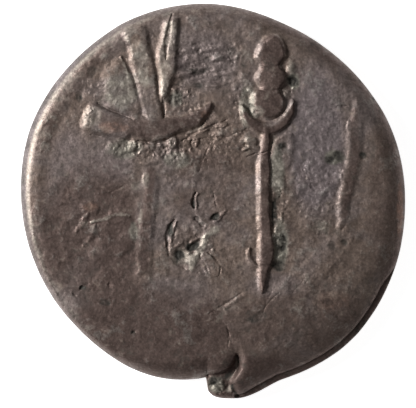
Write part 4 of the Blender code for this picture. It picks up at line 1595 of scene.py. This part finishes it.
@dataclass(frozen=True)
class TonedSilver:
    """Old silver with a dark tone, paler where it is rubbed and blackish green in its hollows.

    Attributes:
        grey: The main colour.
        ochre: The colour that breaks up the main one.
        violet: Purple grey.
        brown: Warm brown.
        green: Green grey.
        copper: Copper red.
        film: Pale film, which also paints highlights.
        bare: Metal rubbed bare, which also paints the highlight on the rim's lit side.
        stain: Deposit in the hollows, which also paints shade on the rim's outermost band.
        metallic: How metallic the surface is.
        roughness: Roughness where it is polished most and where it is dullest.
        rub_share: How much of the bare metal, and of the rim's painted highlight, shows at most.
        film_share: How much of the film and of the painted highlights shows at most.
        speckle: How far the finest grains darken and lighten the colour.
        mottle: How far the middling grains do.
        bump_strength: How strongly both show as relief.
        bump_height: Height of that relief, in millimetres.
    """

    grey: Colour = (0.218, 0.176, 0.166)
    ochre: Colour = (0.205, 0.146, 0.112)
    violet: Colour = (0.225, 0.184, 0.182)
    brown: Colour = (0.122, 0.084, 0.072)
    green: Colour = (0.255, 0.235, 0.195)
    copper: Colour = (0.300, 0.180, 0.135)
    film: Colour = (0.440, 0.390, 0.330)
    bare: Colour = (0.304, 0.287, 0.258)
    stain: Colour = (0.044, 0.040, 0.034)
    metallic: float = 0.65
    roughness: tuple[float, float] = (0.42, 0.66)
    rub_share: float = 0.45
    film_share: float = 0.8
    speckle: tuple[float, float] = (0.68, 1.34)
    mottle: tuple[float, float] = (0.88, 1.12)
    bump_strength: float = 0.8
    bump_height: float = 0.020

    def material(self) -> bpy.types.Material:
        """Makes the material.

        Returns:
            The material, whose tones come from the mesh's attributes.
        """
        nodes = Nodes(MATERIAL_SLOT)
        coarse = nodes.noise(420.0, 4.0, 0.6, 0.6)
        middle = nodes.noise(2200.0, 4.0, 0.65, 0.4)
        fine = nodes.noise(9000.0, 3.0, 0.7)
        colour = nodes.mix(nodes.spread(coarse, 0.38, 0.60, 0.15, 0.75), self.grey, self.ochre)
        for tone, noise, share, shade in (
            (Tone.VIOLET, coarse, 1.0, self.violet),
            (Tone.WARM, coarse, 1.0, self.brown),
            (Tone.GREEN, middle, 1.0, self.green),
            (Tone.RED, middle, 1.0, self.copper),
            (Tone.RUB, fine, self.rub_share, self.bare),
            (Tone.PALE, middle, self.film_share, self.film),
            (Tone.STAIN, middle, 1.0, self.stain),
        ):
            shown = nodes.math("MULTIPLY", self.patchy(nodes, tone, noise), share)
            colour = nodes.mix(shown, colour, shade)
        speckle = nodes.spread(fine, 0.30, 0.70, *self.speckle)
        mottle = nodes.spread(middle, 0.30, 0.70, *self.mottle)
        value = nodes.math("MULTIPLY", speckle, mottle)
        tint = nodes.add("ShaderNodeCombineColor")
        for channel in ("Red", "Green", "Blue"):
            nodes.join(value, tint.inputs[channel])
        colour = nodes.mix(1.0, colour, tint.outputs[0], "MULTIPLY")
        nodes.join(colour, nodes.shader.inputs["Base Color"])
        stain = nodes.attribute(Tone.STAIN.value)
        dull = nodes.math("ADD", stain, nodes.spread(middle, 0.35, 0.65), clamp=True)
        nodes.join(nodes.spread(dull, 0.0, 1.0, *self.roughness), nodes.shader.inputs["Roughness"])
        nodes.shader.inputs["Metallic"].default_value = self.metallic
        bump = nodes.add("ShaderNodeBump")
        bump.inputs["Strength"].default_value = self.bump_strength
        bump.inputs["Distance"].default_value = self.bump_height * MM
        nodes.join(nodes.math("ADD", fine, middle), bump.inputs["Height"])
        nodes.join(bump.outputs["Normal"], nodes.shader.inputs["Normal"])
        return nodes.material

    def patchy(self, nodes: Nodes, tone: Tone, noise: bpy.types.NodeSocket) -> bpy.types.NodeSocket:
        """Breaks a tone up into patches.

        Args:
            nodes: The material's nodes.
            tone: The tone.
            noise: The noise that breaks it up.

        Returns:
            How strongly it shows.
        """
        lifted = nodes.math("ADD", nodes.attribute(tone.value), nodes.spread(noise, 0.25, 0.75, -0.35, 0.35))
        return nodes.spread(lifted, 0.15, 0.85)


# The studio


@dataclass
class Studio:
    """A pale floor, soft light from the left, and a camera that looks straight down.

    Attributes:
        photo_width: The photograph's width, in steps.
        photo_middle: The photograph's middle, in steps from the flan's middle.
        lens: The camera's focal length, in millimetres.
        sensor: The camera's sensor width, in millimetres.
        key_turn: The light's direction from +X, in degrees.
        key_height: The light's height over the floor, in degrees.
        key_power: The light's power, in watts.
        key_size: The light's side, in metres.
        distance: The light's distance from the coin, in metres.
        sky: Strength of the even light from all sides.
        floor_half: Half the floor's side, in metres.
        floor_colour: The floor's colour.
        floor_roughness: The floor's roughness.
        floor_glow: How strongly the floor shines by itself, as a light table does.
        clip: The nearest and farthest that the camera sees, in metres.
    """

    photo_width: float = 416.0
    photo_middle: tuple[float, float] = (-5.0, -3.0)
    lens: float = 250.0
    sensor: float = 36.0
    key_turn: float = 165.0
    key_height: float = 30.0
    key_power: float = 0.42
    key_size: float = 0.06
    distance: float = 0.16
    sky: float = 0.11
    floor_half: float = 0.6
    floor_colour: Colour = (0.88, 0.88, 0.88)
    floor_roughness: float = 0.9
    floor_glow: float = 0.90
    clip: tuple[float, float] = (0.001, 10.0)

    def floor(self) -> None:
        """Makes the floor that the coin lies on."""
        sheet = bmesh.new()
        bmesh.ops.create_grid(sheet, x_segments=1, y_segments=1, size=self.floor_half)
        mesh = bpy.data.meshes.new("floor")
        sheet.to_mesh(mesh)
        sheet.free()
        floor = bpy.data.objects.new("floor", mesh)
        bpy.context.scene.collection.objects.link(floor)
        nodes = Nodes("pale_floor")
        nodes.shader.inputs["Base Color"].default_value = (*self.floor_colour, 1.0)
        nodes.shader.inputs["Roughness"].default_value = self.floor_roughness
        nodes.shader.inputs["Emission Color"].default_value = (1.0, 1.0, 1.0, 1.0)
        nodes.shader.inputs["Emission Strength"].default_value = self.floor_glow
        mesh.materials.append(nodes.material)

    def key_light(self) -> None:
        """Hangs the soft light that points at the coin."""
        lamp = bpy.data.lights.new("key", "AREA")
        lamp.energy = self.key_power
        lamp.size = self.key_size
        light = bpy.data.objects.new("key", lamp)
        turn, height = math.radians(self.key_turn), math.radians(self.key_height)
        level = math.cos(height)
        towards = Vector((level * math.cos(turn), level * math.sin(turn), math.sin(height)))
        light.location = towards * self.distance
        light.rotation_euler = (-light.location).to_track_quat("-Z", "Y").to_euler()
        bpy.context.scene.collection.objects.link(light)

    def camera(self, step: float, edge_height: float) -> None:
        """Sets up the camera over the coin.

        Args:
            step: One step, in metres.
            edge_height: Height of the coin's outline over the floor, in metres.
        """
        lens = bpy.data.cameras.new("camera")
        lens.lens = self.lens
        lens.sensor_width = self.sensor
        lens.clip_start, lens.clip_end = self.clip
        camera = bpy.data.objects.new("camera", lens)
        away = self.photo_width * step * self.lens / self.sensor
        camera.location = (self.photo_middle[0] * step, self.photo_middle[1] * step, edge_height + away)
        bpy.context.scene.collection.objects.link(camera)
        bpy.context.scene.camera = camera

    def sky_light(self) -> None:
        """Lights everything evenly from all sides."""
        world = bpy.data.worlds.new("studio")
        world.use_nodes = True
        background = world.node_tree.nodes["Background"]
        background.inputs["Color"].default_value = (1.0, 1.0, 1.0, 1.0)
        background.inputs["Strength"].default_value = self.sky
        bpy.context.scene.world = world

    def build(self, step: float, edge_height: float) -> None:
        """Builds the studio.

        Args:
            step: One step, in metres.
            edge_height: Height of the coin's outline over the floor, in metres.
        """
        self.camera(step, edge_height)
        self.floor()
        self.key_light()
        self.sky_light()
        bpy.context.scene.view_settings.view_transform = "Standard"


def main() -> None:
    """Builds the coin and the studio."""
    logging.basicConfig(level=logging.INFO, format="%(message)s")
    low, high = CAD_BOX
    flan = Flan(box=((low[0] / MM, low[1] / MM), (high[0] / MM, high[1] / MM)))
    Studio().build(flan.step * MM, flan.edge_middle * MM)
    made = Coin(flan)
    coin = made.build()
    made.dress(coin, TonedSilver())
    log.info("coin: %d triangles", len(coin.data.polygons))


if __name__ == "__main__":
    main()
